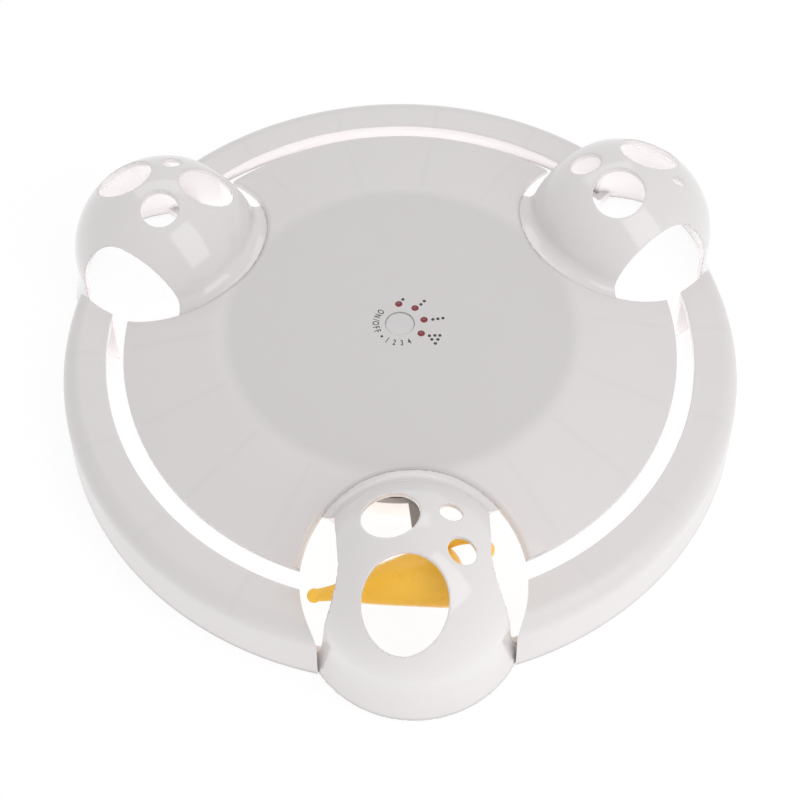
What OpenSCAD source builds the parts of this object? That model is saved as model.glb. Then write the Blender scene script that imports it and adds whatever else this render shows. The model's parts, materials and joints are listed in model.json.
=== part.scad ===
// Cat toy: a mouse on a hidden turntable runs round a slotted track and through three domes.
// Millimetres, +Z up. The origin is on the floor in the middle, the front dome lies towards -Y.

/* [Rim] */
// Width of the rim, from the middle of the slot to its foot
rim_band = 20.45; // [19:0.05:24]
// How far the rim's outer wall leans in over its height
rim_draft = 1.2; // [0.5:0.1:4]
// Height of the rim's top face
rim_h = 24.2; // [20:0.1:25]
// Rounding radius along the rim's outer top edge
rim_round = 7.1; // [5:0.1:8]
// Wall thickness of the rim
rim_wall = 2.2; // [1.6:0.1:2.8]
// Depth of the lip that hangs down at the slot
rim_lip = 3.2; // [2.8:0.1:6]
// How far the rim's ends lean back from the domes over their height
rim_end_lean = 1; // [0:0.1:2]

/* [Slot] */
// How far the middle of the slot lies outside the dome axes
slot_shift = 4.2; // [3:0.1:5]
// Width of the slot
slot_w = 6.5; // [5.5:0.1:8]

/* [Top cover] */
// Height of the cover's flat middle
plateau_z = 34.5; // [33:0.1:38]
// How far the cover's flat middle reaches over the housing wall
plateau_lap = 3.25; // [1:0.05:4]
// Radius of the blend between flat middle and cone
blend_r = 30; // [10:1:50]
// Height of the cover's edge at the slot
cover_edge_z = 25.2; // [23:0.1:28]
// Thickness of the cover
cover_t = 2.2; // [1.6:0.1:2.6]
// Thickness of the ribs under the cover and the rim
rib_t = 1.2; // [0.8:0.1:2]
// Depth of those ribs
rib_depth = 2.5; // [1:0.1:4]

/* [Domes] */
// Gap between the housing wall and the cover's cut-outs for the domes
collar_gap = 0.3; // [0.2:0.05:2]
// Outside radius of the domes
dome_r = 35.35; // [33:0.05:37]
// Height of the centre of the domes' ball shape
dome_z = 22; // [20:0.1:25]
// Outside radius of the domes' foot on the floor
dome_foot_r = 38.7; // [38.2:0.1:41]
// Wall thickness of the domes
dome_wall = 2.2; // [1.6:0.1:2.6]
// Gap between the domes' foot and the rim's ends
dome_gap = 0.3; // [0.2:0.05:0.6]
// Width of the flange round the domes, in the cut-outs of the cover
flange_w = 2.8; // [2:0.05:3.2]
// Gap between that flange and the cut-outs
flange_gap = 0.3; // [0.2:0.05:0.5]
// How far the flange stands above the cover's top, below zero where it lies lower
flange_up = -1.2; // [-1.5:0.1:1]
// Height of the top of the door arches
arch_top_z = 47.7; // [46.5:0.1:50]
// Height at which the door arches spring
arch_spring_z = 24; // [22:0.1:28]
// Half width of the doors on the side of the cover
arch_in_w = 23; // [20:0.1:24]
// Half width of the doors on the side of the rim
arch_out_w = 16.9; // [16:0.1:18]
// How much wider the doors are at the floor on that side, below zero where they narrow
door_flare = -1.2; // [-2:0.1:2]

/* [Housing] */
// Width of the ring of space for the turntable, from the drum to the housing's outside
turn_band = 15.25; // [14.5:0.05:17]
// Wall thickness inside the housing
wall_t = 2.2; // [1.6:0.1:2.6]
// Lower edge of the slit for the arm
slit_lo = 10.4; // [10:0.1:11]
// Upper edge of the slit for the arm
slit_hi = 15; // [14.6:0.1:16]
// Distance from the wall of the cell pocket to the outside of the fixed drum
drum_room = 13.2; // [12.5:0.1:15]
// Height at which base tray and cover meet in the drum
split_z = 20; // [19.5:0.1:22]
// Height of the tray's underside over the floor
floor_z = 0.8; // [0.6:0.1:1.2]
// Thickness of the tray's floor
floor_t = 2.2; // [1.9:0.1:3]
// Distance from the anti-slip ring to the outside of the housing
pad_edge = 3.5; // [2.5:0.1:5]
// Width of the anti-slip ring
pad_w = 6; // [4:0.1:7]
// How deep the anti-slip ring sits in the tray
pad_sink = 0.8; // [0.5:0.1:1]
// Radius of the rubber foot in the middle
foot_r = 6; // [4:0.1:7]

/* [Turntable and drive] */
// Gap between the turntable and the edges of the slit
slit_gap = 0.6; // [0.4:0.05:0.8]
// Width of the ledge that carries the turntable
ledge_w = 2.2; // [1.5:0.1:3]
// Running clearance of shafts and bearings
run_gap = 0.05; // [0.02:0.01:0.09]
// Height of the turntable's plain bearing ring
bearing_h = 1.6; // [1.2:0.1:2]
// Gap from the drum to the pitch circle of the ring gear
ring_seat = 2; // [1.6:0.1:2.6]
// Gap between the turntable and the housing wall
turn_gap = 0.8; // [0.5:0.1:1.5]
// Width of the arm
arm_w = 7.6; // [6:0.1:9]
// How far the arm rises from the slit to the post
arm_rise = 5.4; // [4:0.1:5.8]
// Thickness of the post that stands in the slot
post_w = 4; // [3:0.1:4.4]
// How far the peg that carries the mouse is drawn in from the post's faces
peg_step = 0.3; // [0.2:0.05:0.5]
// Height of that peg
peg_h = 5; // [4:0.1:6]
// Tooth module of the fast gear pair
fast_module = 0.6; // [0.55:0.01:0.64]
// Width of the fast gear pair
fast_w = 2.2; // [1.5:0.1:2.4]
// Radius of the gear axle
axle_r = 1.5; // [1.2:0.05:1.8]
// Radius of the motor
motor_r = 6; // [5:0.1:6.3]
// Radius of the motor shaft
shaft_r = 0.8; // [0.6:0.05:1]

/* [Mouse] */
// Direction of the mouse round the track, in degrees
mouse_az = -86.5; // [-88:0.1:-85]
// Height of the mouse's underside over the cover's edge
mouse_lift = 2.4; // [1.6:0.1:3]
// Length from the middle of the post to the snout
mouse_nose_s = 39; // [34:0.5:41]
// Length from the middle of the post to the thickest place
mouse_belly_s = 4; // [2:0.5:6]
// Length from the thickest place to the rump
mouse_rump = 6.2; // [5:0.1:9]
// Radius of the mouse at its thickest place
mouse_r = 10.4; // [9:0.05:11]
// Radius of the snout's end
snout_r = 2.1; // [1.5:0.1:2.4]
// How much larger the ball nose is than the snout's end
nose_step = 0.3; // [0.25:0.05:0.5]
// Height of the snout's axis over the mouse's underside
snout_h = 2.8; // [2.6:0.1:3.5]
// Tilt of the mouse's axis, in degrees
mouse_tilt = 5; // [4:0.1:6]
// Wall thickness of the mouse
mouse_wall = 1.6; // [1.2:0.1:2]
// Thickness of the mouse's base
mouse_base_t = 1.5; // [1:0.1:2]
// Radius of the tail
tail_r = 1.4; // [1.2:0.05:1.6]
// Radius of the tail's round end
tail_tip_r = 1.75; // [1.65:0.05:2]
// Radius of the tail's curl
tail_curl_r = 8.6; // [7.5:0.1:9]
// Sideways place of the tail
tail_side = 8; // [7:0.1:8.4]

/* [Button and lights] */
// Radius of the button
button_r = 5.35; // [4.5:0.05:5.6]
// How far the button stands above the cover, below zero where it lies deeper
button_up = -0.45; // [-0.8:0.05:1.5]
// Travel of the button
button_travel = 0.5; // [0.3:0.05:0.5]
// Radius of the lights
led_r = 1.3; // [1:0.05:1.4]
// Radius of the ring of lights
led_ring_r = 8.9; // [8.6:0.1:10]
// Angle between two lights, in degrees
led_step = 41; // [30:1:45]

/* [Cells and board] */
// Diameter of a cell
cell_d = 10.5; // [10:0.1:10.8]
// Length of a cell without its nub
cell_len = 43.3; // [42:0.1:44]
// Length of a cell's nub
nub_len = 1.2; // [0.8:0.1:1.4]
// Length of the contact springs
spring_len = 3.5; // [3:0.1:4]
// Thickness of the contact plates
contact_t = 0.5; // [0.4:0.05:0.8]
// Thickness of the battery door
door_t = 1.4; // [1.2:0.1:1.5]
// Gap round the battery door
door_gap = 0.2; // [0.1:0.05:0.3]
// Length of the circuit board
board_x = 56; // [50:1:58]
// Width of the circuit board
board_y = 36; // [32:1:38]
// Thickness of the circuit board
board_t = 1.6; // [1.2:0.1:2]
// Height of the switch under the button
switch_h = 3.4; // [3:0.1:3.6]
// Radius of the screw shanks
screw_r = 1.3; // [1.1:0.05:1.5]
// Radius of the screw heads
head_r = 2.5; // [2.2:0.05:2.7]
// Height of the screw heads
head_h = 1.4; // [1.1:0.1:1.8]

/* [Hidden] */
$fn = 96;

// Directions of the three dome axes
dome_step = 120;
front_az = -90;
right_az = front_az + dome_step;
left_az = right_az + dome_step;
// Peep holes of each dome: distance outwards, distance to the left seen from the middle, radius, lean outwards
front_holes = [[19.4, -3.9, 13.85, 5], [-9.1, -7.3, 9.6, 0], [-9.5, 12.3, 3.75, 0], [4.6, 14.95, 4.65, 0]];
right_holes = [[-8, -5.8, 9.55, 0], [-8.7, 13.3, 5.55, 0], [15.2, 5.6, 11.2, 0], [16, -11.1, 2.25, 0]];
left_holes = [[-5.3, 7.4, 6.95, 0], [16.3, -1.7, 10.4, 0], [-12.5, -12.4, 9.5, 0], [4, -15.4, 3.5, 0]];
// Overshoot of cutting shapes
eps = 0.5;

// Cells
cell_gap = 0.4;
cell_pitch = cell_d + cell_gap;
cell_count = 3;
nub_r = cell_d / 4;
cell_z = floor_z + door_t + 0.1 + cell_d / 2;
pocket_hx = (cell_len + nub_len + spring_len) / 2 + contact_t;
pocket_y1 = 1.8;
pocket_y0 = pocket_y1 - cell_count * cell_pitch - cell_gap;
pocket_wall = 1.5;
pocket_z1 = cell_z + cell_d / 2 + 0.4;
pocket_x0 = -pocket_hx + contact_t + spring_len;

// Radii from the drum outwards
drum_r = pocket_wall - pocket_y0 + drum_room;
collar_r = drum_r + turn_band;
flange_r = dome_r + flange_w;
cut_r = flange_r + flange_gap;
dome_ring_r = collar_r + collar_gap + cut_r;
slot_r = dome_ring_r + slot_shift;
rim_r = slot_r + rim_band;
plateau_r = collar_r + plateau_lap;
pad_in_r = collar_r - pad_edge - pad_w;

// Slot, cover and rim
slot_in = slot_r - slot_w / 2;
slot_out = slot_r + slot_w / 2;
cover_slope = atan((plateau_z - cover_edge_z) / (slot_in - plateau_r));
blend_steps = 5;
cover_under_z = plateau_z - cover_t;
rim_lean = atan(rim_draft / rim_h);
rib_step = 20;
rib_end_gap = 2;
dome_half_span = 8;
rim_rib_az = 30;
mouse_z = cover_edge_z + mouse_lift;

// Dome fittings
skirt_drop = 3;
flare_steps = 6;
hole_start = 2;
hook_az = 40;
hook_w = 6;
hook_t = 2;
hook_gap = 0.15;
hook_reach = cut_r + 1.4;
arch_steps = 10;
tongue_t = 2.4;
tongue_h = 3.6;
tongue_z0 = 1.2;
tongue_gap = 0.15;
tongue_inset = 8;
tongue_r0 = rim_r - tongue_inset;
tongue_root_a = 1.6;
tongue_end_a = 2;
root_inset = 0.4;
tongue_a0 = side_angle(rim_r, dome_foot_r - root_inset) - tongue_root_a;
tongue_a1 = side_angle(tongue_r0, dome_foot_r + dome_gap + rim_wall) + tongue_end_a;

// Turntable and gears
turn_z0 = slit_lo + slit_gap;
turn_z1 = slit_hi - slit_gap;
turn_h = turn_z1 - turn_z0;
turn_r = collar_r - wall_t - turn_gap;
ring_teeth = 96;
small_teeth = 12;
large_teeth = 36;
pinion_teeth = 10;
ring_pitch_r = drum_r + ring_seat;
slow_module = 2 * ring_pitch_r / ring_teeth;
small_pitch_r = slow_module * small_teeth / 2;
large_pitch_r = fast_module * large_teeth / 2;
pinion_pitch_r = fast_module * pinion_teeth / 2;
addendum = 0.8;
dedendum = 1.1;
root_share = 0.25;
tip_share = 0.11;
gear_az = 90;
gear_y = ring_pitch_r - small_pitch_r;
motor_y = gear_y - large_pitch_r - pinion_pitch_r;
gear_z0 = turn_z0 + bearing_h + 0.2;
fast_z0 = turn_z1 + 0.6;
fast_z1 = fast_z0 + fast_w;
gear_hub_r = axle_r + 1.1;
axle_boss_r = axle_r + 2;
axle_sink = 8;
axle_head_h = 0.8;
axle_play = 0.1;
window_gap = 0.6;
tray_top_z = floor_z + floor_t;
clamp_t = 1.2;
motor_top_z = fast_z0 - clamp_t - 0.4;
motor_neck_r = shaft_r + 1.2;
motor_neck_h = 0.6;
motor_seat_h = 3;
shaft_sink = 4;
clamp_reach = 5;
clamp_x = motor_r + clamp_reach;
clamp_w = 8;
post_boss_r = 3;
peg_r = post_w / 2 - peg_step;
arm_step = 0.3;
arm_z0 = turn_z0 + arm_step;
arm_z1 = turn_z1 - arm_step;
arm_bend_r = collar_r + turn_gap;
post_in_r = slot_r - post_w / 2;
post_out_r = slot_r + post_w / 2;
arm_line = [[turn_r - wall_t, arm_z0], [arm_bend_r, arm_z0], [post_in_r, arm_z0 + arm_rise],
            [post_out_r, arm_z0 + arm_rise], [post_out_r, mouse_z], [post_in_r, mouse_z],
            [post_in_r, arm_z1 + arm_rise], [arm_bend_r, arm_z1], [turn_r - wall_t, arm_z1]];

// Mouse
mouse_front = mouse_nose_s + mouse_belly_s;
mouse_len = mouse_front + mouse_rump;
mouse_swell = 1.8;
mouse_power = 2.6;
nose_r = snout_r + nose_step;
front_steps = 14;
rear_steps = 8;
socket_r = peg_r + 1.6;
chin_y = -mouse_nose_s + 3;
tail_up = 7;
tail_z = mouse_z + tail_up;
tail_y = 11;
tail_from = 15;
tail_to = 215;

// Button, board and screws
button_z1 = plateau_z + button_up;
button_flange_r = button_r + 1.45;
button_flange_h = 0.5;
button_z0 = cover_under_z - 0.1 - button_flange_h;
switch_w = 6;
switch_z1 = button_z0 - button_travel - 0.1;
board_top_z = switch_z1 - switch_h;
plunger_r = 1.7;
plunger_h = 1.4;
plunger_room = button_travel + 0.2;
led_up = 0.15;
led_base_r = led_r + 0.35;
led_base_h = 1;
led_az0 = 90;
chip_w = 8;
chip_h = 1.2;
board_screw_inset = 4;
board_screw_x = board_x / 2 - board_screw_inset;
board_screw_len = 4;
standoff_r = screw_r + 1.4;
boss_r = screw_r + 2.3;
boss_inset = 2.2;
cover_screw_r = drum_r - wall_t - boss_r - boss_inset;
cover_screw_az = [55, 125, 210, 330];
cover_seat_z = floor_z + 3.2;
cover_bite = 7;
hole_gap = 0.2;
bite_gap = 0.02;

// Battery door
door_lap = 2;
door_tail_y = 8.5;
door_tab_x = 6.5;
door_tab_len = 8;
door_screw_y = pocket_y0 - pocket_wall - boss_r - 0.2;
door_tab_y = door_screw_y - door_tab_x / 2 - 1;
door_head_z = floor_z + 0.2;
door_screw_len = 7;

// Top line of the cover from the middle to the slot, moved up by dz
function cover_line(dz) = let (
    t = blend_r * tan(cover_slope / 2))
    concat([[0, plateau_z + dz]],
           [for (i = [0 : blend_steps]) let (a = cover_slope * i / blend_steps)
               [plateau_r - t + blend_r * sin(a), plateau_z + dz - blend_r * (1 - cos(a))]],
           [[slot_in, cover_edge_z + dz]]);

function reversed(list) = [for (i = [len(list) - 1 : -1 : 0]) list[i]];

// Outline of the rim's outer side, drawn in by inset: wall line, rounded edge, top
function rim_line(inset) = let (
    top = rim_h - inset,
    rad = max(rim_round - inset, 0.5),
    foot = rim_r - inset / cos(rim_lean),
    cz = top - rad,
    cr = foot - cz * tan(rim_lean) - rad / cos(rim_lean),
    steps = 6)
    concat([[foot, 0]],
           [for (i = [0 : steps]) let (a = rim_lean + (90 - rim_lean) * i / steps)
               [cr + rad * cos(a), cz + rad * sin(a)]]);

// Outside radius of a dome's flared skirt at height z
function skirt_radius(z) = dome_r + (dome_foot_r - dome_r) * pow(1 - z / dome_z, 2);

// Angle between a dome's axis and the place where a circle of radius c round it meets radius r
function side_angle(r, c) = acos((r * r + dome_ring_r * dome_ring_r - c * c) / (2 * r * dome_ring_r));

// Radius of the mouse at distance u behind the end of its snout
function mouse_radius(u) = u < mouse_front
    ? snout_r + (mouse_r - snout_r) * (1 - pow(1 - pow(u / mouse_front, mouse_swell), mouse_power))
    : mouse_r * sqrt(max(1 - pow((u - mouse_front) / mouse_rump, 2), 0));

// Tooth outline: half widths of the teeth are shares of the tooth step
function teeth(count, r_root, r_tip) = let (
    step = 360 / count)
    [for (i = [0 : count - 1]) for (k = [[-root_share, r_root], [-tip_share, r_tip],
                                         [tip_share, r_tip], [root_share, r_root]])
        k[1] * [cos((i + k[0]) * step), sin((i + k[0]) * step)]];

module tube(r_out, r_in, z0, z1) {
    translate([0, 0, z0])
        difference() {
            cylinder(r = r_out, h = z1 - z0);
            translate([0, 0, -eps])
                cylinder(r = r_in, h = z1 - z0 + 2 * eps);
        }
}

module at_polar(r, a) {
    rotate([0, 0, a])
        translate([r, 0, 0])
            children();
}

// Ring between two copies of the cover's top line
module cover_slab(dz_low, dz_high) {
    rotate_extrude()
        polygon(concat(cover_line(dz_low), reversed(cover_line(dz_high))));
}

// Screw with its head downwards, its seat at z = 0
module screw(len) {
    translate([0, 0, -head_h])
        cylinder(r = head_r, h = head_h);
    cylinder(r = screw_r, h = len);
}

module base_tray() {
    color("whitesmoke")
        difference() {
            union() {
                translate([0, 0, floor_z])
                    cylinder(r = collar_r, h = floor_t);
                tube(collar_r, collar_r - wall_t, floor_z, slit_lo);
                tube(drum_r, drum_r - wall_t, floor_z, split_z);
                tube(drum_r + ledge_w, drum_r - wall_t / 2, floor_z, turn_z0);
                translate([-pocket_hx - pocket_wall, pocket_y0 - pocket_wall, floor_z])
                    cube([2 * (pocket_hx + pocket_wall), pocket_y1 - pocket_y0 + 2 * pocket_wall,
                          pocket_z1 + pocket_wall - floor_z]);
                for (a = cover_screw_az)
                    at_polar(cover_screw_r, a)
                        translate([0, 0, floor_z])
                            cylinder(r = boss_r, h = split_z - floor_z);
                for (x = [-clamp_x, clamp_x])
                    translate([x, motor_y, floor_z])
                        cylinder(r = post_boss_r, h = motor_top_z - floor_z);
                translate([0, motor_y, 0])
                    tube(motor_r + 1.4, motor_r + 0.1, floor_z + floor_t / 2, tray_top_z + motor_seat_h);
                translate([0, gear_y, floor_z])
                    cylinder(r = axle_boss_r, h = gear_z0 - floor_z);
                translate([0, door_screw_y, floor_z])
                    cylinder(r = boss_r, h = door_screw_len + 2);
            }
            // Cell pocket, open to the battery door
            translate([-pocket_hx, pocket_y0, floor_z - eps])
                cube([2 * pocket_hx, pocket_y1 - pocket_y0, pocket_z1 - floor_z + eps]);
            door_plate(door_gap, door_t + eps, -eps);
            tube(pad_in_r + pad_w + door_gap, pad_in_r - door_gap, floor_z - eps, floor_z + pad_sink);
            // Window through which the compound gear reaches the turntable
            translate([0, gear_y, turn_z0 + bearing_h])
                cylinder(r = large_pitch_r + fast_module * addendum + window_gap,
                         h = fast_z1 + axle_play + axle_head_h + window_gap - turn_z0 - bearing_h);
            for (a = cover_screw_az)
                at_polar(cover_screw_r, a) {
                    translate([0, 0, floor_z - eps])
                        cylinder(r = head_r + hole_gap, h = cover_seat_z - floor_z + eps);
                    cylinder(r = screw_r + hole_gap, h = split_z + eps);
                }
            for (x = [-clamp_x, clamp_x])
                translate([x, motor_y, motor_top_z - board_screw_len])
                    cylinder(r = screw_r + bite_gap, h = board_screw_len + eps);
            translate([0, gear_y, gear_z0 - axle_sink])
                cylinder(r = axle_r + bite_gap, h = axle_sink + eps);
            translate([0, door_screw_y, 0])
                cylinder(r = screw_r + bite_gap, h = floor_z + door_screw_len);
        }
}

module anti_slip_ring() {
    color("dimgray")
        tube(pad_in_r + pad_w, pad_in_r, 0, floor_z + pad_sink);
}

module centre_foot() {
    color("dimgray")
        cylinder(r = foot_r, h = floor_z);
}

// Outline of the battery door, grown by gap, as a plate of thickness t from floor_z + dz
module door_plate(gap, t, dz) {
    translate([-pocket_hx - door_lap - gap, pocket_y0 - door_lap - gap, floor_z + dz])
        cube([2 * (pocket_hx + door_lap + gap), door_tail_y - pocket_y0 + door_lap + 2 * gap, t]);
    translate([-door_tab_x - gap, door_tab_y - gap, floor_z + dz])
        cube([2 * (door_tab_x + gap), pocket_y0 - door_tab_y, t]);
}

module battery_door() {
    color("gainsboro")
        difference() {
            door_plate(0, door_t, 0);
            translate([0, door_screw_y, floor_z - eps]) {
                cylinder(r = head_r + hole_gap, h = door_head_z - floor_z + head_h / 2 + eps);
                cylinder(r = screw_r + hole_gap, h = door_t + 2 * eps);
            }
        }
}

module battery_door_screw() {
    color("silver")
        translate([0, door_screw_y, door_head_z]) {
            cylinder(r = head_r, h = head_h / 2);
            cylinder(r = screw_r, h = door_screw_len - 1);
        }
}

module battery_cell(i) {
    color("darkseagreen")
        translate([pocket_x0, pocket_y1 - cell_gap - cell_d / 2 - i * cell_pitch, cell_z])
            rotate([0, 90, 0]) {
                cylinder(r = cell_d / 2, h = cell_len);
                cylinder(r = nub_r, h = cell_len + nub_len);
            }
}

// Contact plate against the pocket's end wall on one side
module contact_plate(side) {
    color("goldenrod")
        translate([side > 0 ? pocket_hx - contact_t : -pocket_hx, pocket_y0 + cell_gap,
                   cell_z - cell_d / 2 + cell_gap])
            cube([contact_t, pocket_y1 - pocket_y0 - 2 * cell_gap, cell_d - 2 * cell_gap]);
}

module contact_springs() {
    color("silver")
        for (i = [0 : cell_count - 1])
            translate([-pocket_hx + contact_t, pocket_y1 - cell_gap - cell_d / 2 - i * cell_pitch, cell_z])
                rotate([0, 90, 0])
                    difference() {
                        cylinder(r1 = cell_d / 3, r2 = cell_d / 5, h = spring_len);
                        translate([0, 0, -eps])
                            cylinder(r = cell_d / 8, h = spring_len + 2 * eps);
                    }
}

module motor() {
    color("silver")
        translate([0, motor_y, 0])
            difference() {
                union() {
                    translate([0, 0, tray_top_z])
                        cylinder(r = motor_r, h = motor_top_z - tray_top_z);
                    translate([0, 0, motor_top_z - eps])
                        cylinder(r = motor_neck_r, h = motor_neck_h + eps);
                }
                translate([0, 0, motor_top_z - shaft_sink - 0.2])
                    cylinder(r = shaft_r + run_gap, h = shaft_sink + motor_neck_h + 1);
            }
}

module motor_clamp() {
    color("gainsboro")
        translate([0, motor_y, motor_top_z])
            linear_extrude(clamp_t)
                difference() {
                    union() {
                        square([2 * clamp_x, clamp_w], center = true);
                        for (x = [-clamp_x, clamp_x])
                            translate([x, 0])
                                circle(r = clamp_w / 2);
                    }
                    circle(r = motor_neck_r + 0.4);
                    for (x = [-clamp_x, clamp_x])
                        translate([x, 0])
                            circle(r = screw_r + hole_gap);
                }
}

module motor_screws() {
    color("silver")
        for (x = [-clamp_x, clamp_x])
            translate([x, motor_y, motor_top_z + clamp_t])
                rotate([180, 0, 0])
                    screw(clamp_t + board_screw_len - 0.3);
}

module motor_pinion() {
    color("burlywood")
        translate([0, motor_y, 0]) {
            translate([0, 0, fast_z0])
                linear_extrude(fast_w)
                    polygon(teeth(pinion_teeth, pinion_pitch_r - fast_module * dedendum,
                                  pinion_pitch_r + fast_module * addendum));
            translate([0, 0, motor_top_z - shaft_sink])
                cylinder(r = shaft_r, h = fast_z1 + 0.4 - motor_top_z + shaft_sink);
        }
}

module gear_axle() {
    color("silver")
        translate([0, gear_y, gear_z0 - axle_sink]) {
            cylinder(r = axle_r, h = fast_z1 + axle_play - gear_z0 + axle_sink);
            translate([0, 0, fast_z1 + axle_play - gear_z0 + axle_sink])
                cylinder(r = gear_hub_r, h = axle_head_h);
        }
}

module compound_gear() {
    color("burlywood")
        translate([0, gear_y, 0])
            difference() {
                union() {
                    translate([0, 0, gear_z0])
                        linear_extrude(fast_z0 - gear_z0)
                            polygon(teeth(small_teeth, small_pitch_r - slow_module * dedendum,
                                          small_pitch_r + slow_module * addendum));
                    translate([0, 0, fast_z0])
                        linear_extrude(fast_w)
                            polygon(teeth(large_teeth, large_pitch_r - fast_module * dedendum,
                                          large_pitch_r + fast_module * addendum));
                }
                translate([0, 0, gear_z0 - eps])
                    cylinder(r = axle_r + run_gap, h = fast_z1 - gear_z0 + 2 * eps);
            }
}

module turntable() {
    color("gray")
        difference() {
            union() {
                translate([0, 0, turn_z0])
                    cylinder(r = turn_r, h = turn_h);
                rotate([0, 0, mouse_az]) {
                    rotate([90, 0, 0])
                        linear_extrude(arm_w, center = true)
                            polygon(arm_line);
                    translate([slot_r, 0, mouse_z - 1])
                        cylinder(r = peg_r, h = peg_h + 1);
                }
            }
            translate([0, 0, turn_z0 - eps])
                cylinder(r = drum_r + run_gap, h = bearing_h + 2 * eps);
            translate([0, 0, turn_z0 + bearing_h])
                rotate([0, 0, 180 / ring_teeth])
                    linear_extrude(turn_h)
                        polygon(teeth(ring_teeth, ring_pitch_r + slow_module * dedendum,
                                      ring_pitch_r - slow_module * addendum));
        }
}

// Puts the mouse's own frame on the track: nose towards -Y, outwards towards +X
module on_track() {
    rotate([0, 0, mouse_az])
        translate([slot_r, 0, 0])
            children();
}

// Puts a body of revolution on the mouse's axis, its end at the snout
module on_mouse_axis() {
    translate([0, -mouse_nose_s, mouse_z + snout_h])
        rotate([mouse_tilt - 90, 0, 0])
            rotate_extrude()
                children();
}

module mouse_form() {
    on_mouse_axis()
        polygon(concat([[0, 0]],
                       [for (i = [0 : front_steps]) let (u = mouse_front * i / front_steps)
                           [mouse_radius(u), u]],
                       [for (i = [1 : rear_steps - 1]) let (u = mouse_front + mouse_rump * sin(90 * i / rear_steps))
                           [mouse_radius(u), u]],
                       [[0, mouse_len]]));
}

module mouse_cavity() {
    on_mouse_axis()
        polygon(concat([[0, 4 * mouse_wall]],
                       [for (i = [3 : front_steps]) let (u = mouse_front * i / front_steps)
                           [mouse_radius(u) - mouse_wall, u]],
                       [for (i = [1 : rear_steps]) let (a = 90 * i / rear_steps)
                           [(mouse_r - mouse_wall) * cos(a), mouse_front + (mouse_rump - mouse_wall) * sin(a)]]));
}

module nose_ball() {
    translate([0, -mouse_nose_s, mouse_z + snout_h])
        rotate([mouse_tilt - 90, 0, 0])
            translate([0, 0, -0.2 * nose_r])
                sphere(r = nose_r);
}

// Slab from y0 to y1 and from z0 to z1, wider than the mouse
module mouse_slab(y0, y1, z0, z1) {
    translate([-2 * mouse_r, y0, z0])
        cube([4 * mouse_r, y1 - y0, z1 - z0]);
}

// Curl of the tail in an upright plane beside the mouse's axis
module tail_form(r) {
    translate([-tail_side, tail_y, tail_z])
        rotate([90, 0, 90])
            rotate([0, 0, 180 - tail_to])
                rotate_extrude(angle = tail_to - tail_from)
                    translate([tail_curl_r, 0])
                        circle(r = r);
}

module mouse_base() {
    color("gold")
        on_track()
            difference() {
                union() {
                    intersection() {
                        mouse_form();
                        mouse_slab(chin_y, mouse_len, mouse_z, mouse_z + mouse_base_t);
                    }
                    translate([0, 0, mouse_z])
                        cylinder(r = socket_r, h = peg_h + 1);
                }
                translate([0, 0, mouse_z - eps])
                    cylinder(r = peg_r + bite_gap, h = peg_h + 0.2 + eps);
            }
}

module mouse_body() {
    color("gold")
        on_track()
            difference() {
                union() {
                    intersection() {
                        mouse_form();
                        union() {
                            mouse_slab(-mouse_len, mouse_len, mouse_z + mouse_base_t, mouse_z + 4 * mouse_r);
                            mouse_slab(-mouse_len, chin_y, mouse_z, mouse_z + 2 * mouse_base_t);
                        }
                    }
                    nose_ball();
                }
                mouse_cavity();
                tail_form(tail_r + bite_gap);
            }
}

module mouse_tail() {
    color("goldenrod")
        on_track() {
            tail_form(tail_r);
            translate([-tail_side, tail_y - tail_curl_r * cos(tail_to), tail_z + tail_curl_r * sin(tail_to)])
                sphere(r = tail_tip_r);
        }
}

module top_cover() {
    color("whitesmoke")
        difference() {
            union() {
                cover_slab(-cover_t, 0);
                tube(collar_r, collar_r - wall_t, slit_hi, plateau_z - cover_t / 2);
                tube(drum_r, drum_r - wall_t, split_z, plateau_z - cover_t / 2);
                for (a = cover_screw_az)
                    at_polar(cover_screw_r, a)
                        translate([0, 0, split_z])
                            cylinder(r = boss_r, h = plateau_z - cover_t / 2 - split_z);
                for (x = [-board_screw_x, board_screw_x])
                    translate([x, 0, board_top_z])
                        cylinder(r = standoff_r, h = plateau_z - cover_t / 2 - board_top_z);
                // Radial ribs under the conical band
                intersection() {
                    cover_slab(-cover_t - rib_depth, -cover_t / 2);
                    for (a = [0 : rib_step : 359])
                        rotate([0, 0, a])
                            translate([collar_r - wall_t / 2, -rib_t / 2, 0])
                                cube([slot_in - rib_end_gap - collar_r + wall_t / 2, rib_t, plateau_z]);
                }
            }
            for (az = [front_az, right_az, left_az])
                at_polar(dome_ring_r, az)
                    translate([0, 0, slit_hi + eps])
                        cylinder(r = cut_r, h = plateau_z);
            translate([0, 0, cover_under_z - eps])
                cylinder(r = button_r + run_gap, h = cover_t + 2 * eps);
            for (i = [0 : 3])
                at_polar(led_ring_r, led_az0 - i * led_step)
                    translate([0, 0, cover_under_z - eps])
                        cylinder(r = led_r + run_gap, h = cover_t + 2 * eps);
            for (a = cover_screw_az)
                at_polar(cover_screw_r, a)
                    translate([0, 0, split_z - eps])
                        cylinder(r = screw_r + bite_gap, h = cover_bite + 2 * eps);
            for (x = [-board_screw_x, board_screw_x])
                translate([x, 0, board_top_z - eps])
                    cylinder(r = screw_r + bite_gap, h = board_screw_len + eps);
        }
}

module cover_screws() {
    color("silver")
        for (a = cover_screw_az)
            at_polar(cover_screw_r, a)
                translate([0, 0, cover_seat_z])
                    screw(split_z - cover_seat_z + cover_bite);
}

module circuit_board() {
    color("seagreen")
        difference() {
            translate([-board_x / 2, -board_y / 2, board_top_z - board_t])
                cube([board_x, board_y, board_t]);
            for (x = [-board_screw_x, board_screw_x])
                translate([x, 0, board_top_z - board_t - eps])
                    cylinder(r = screw_r + hole_gap, h = board_t + 2 * eps);
        }
}

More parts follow.
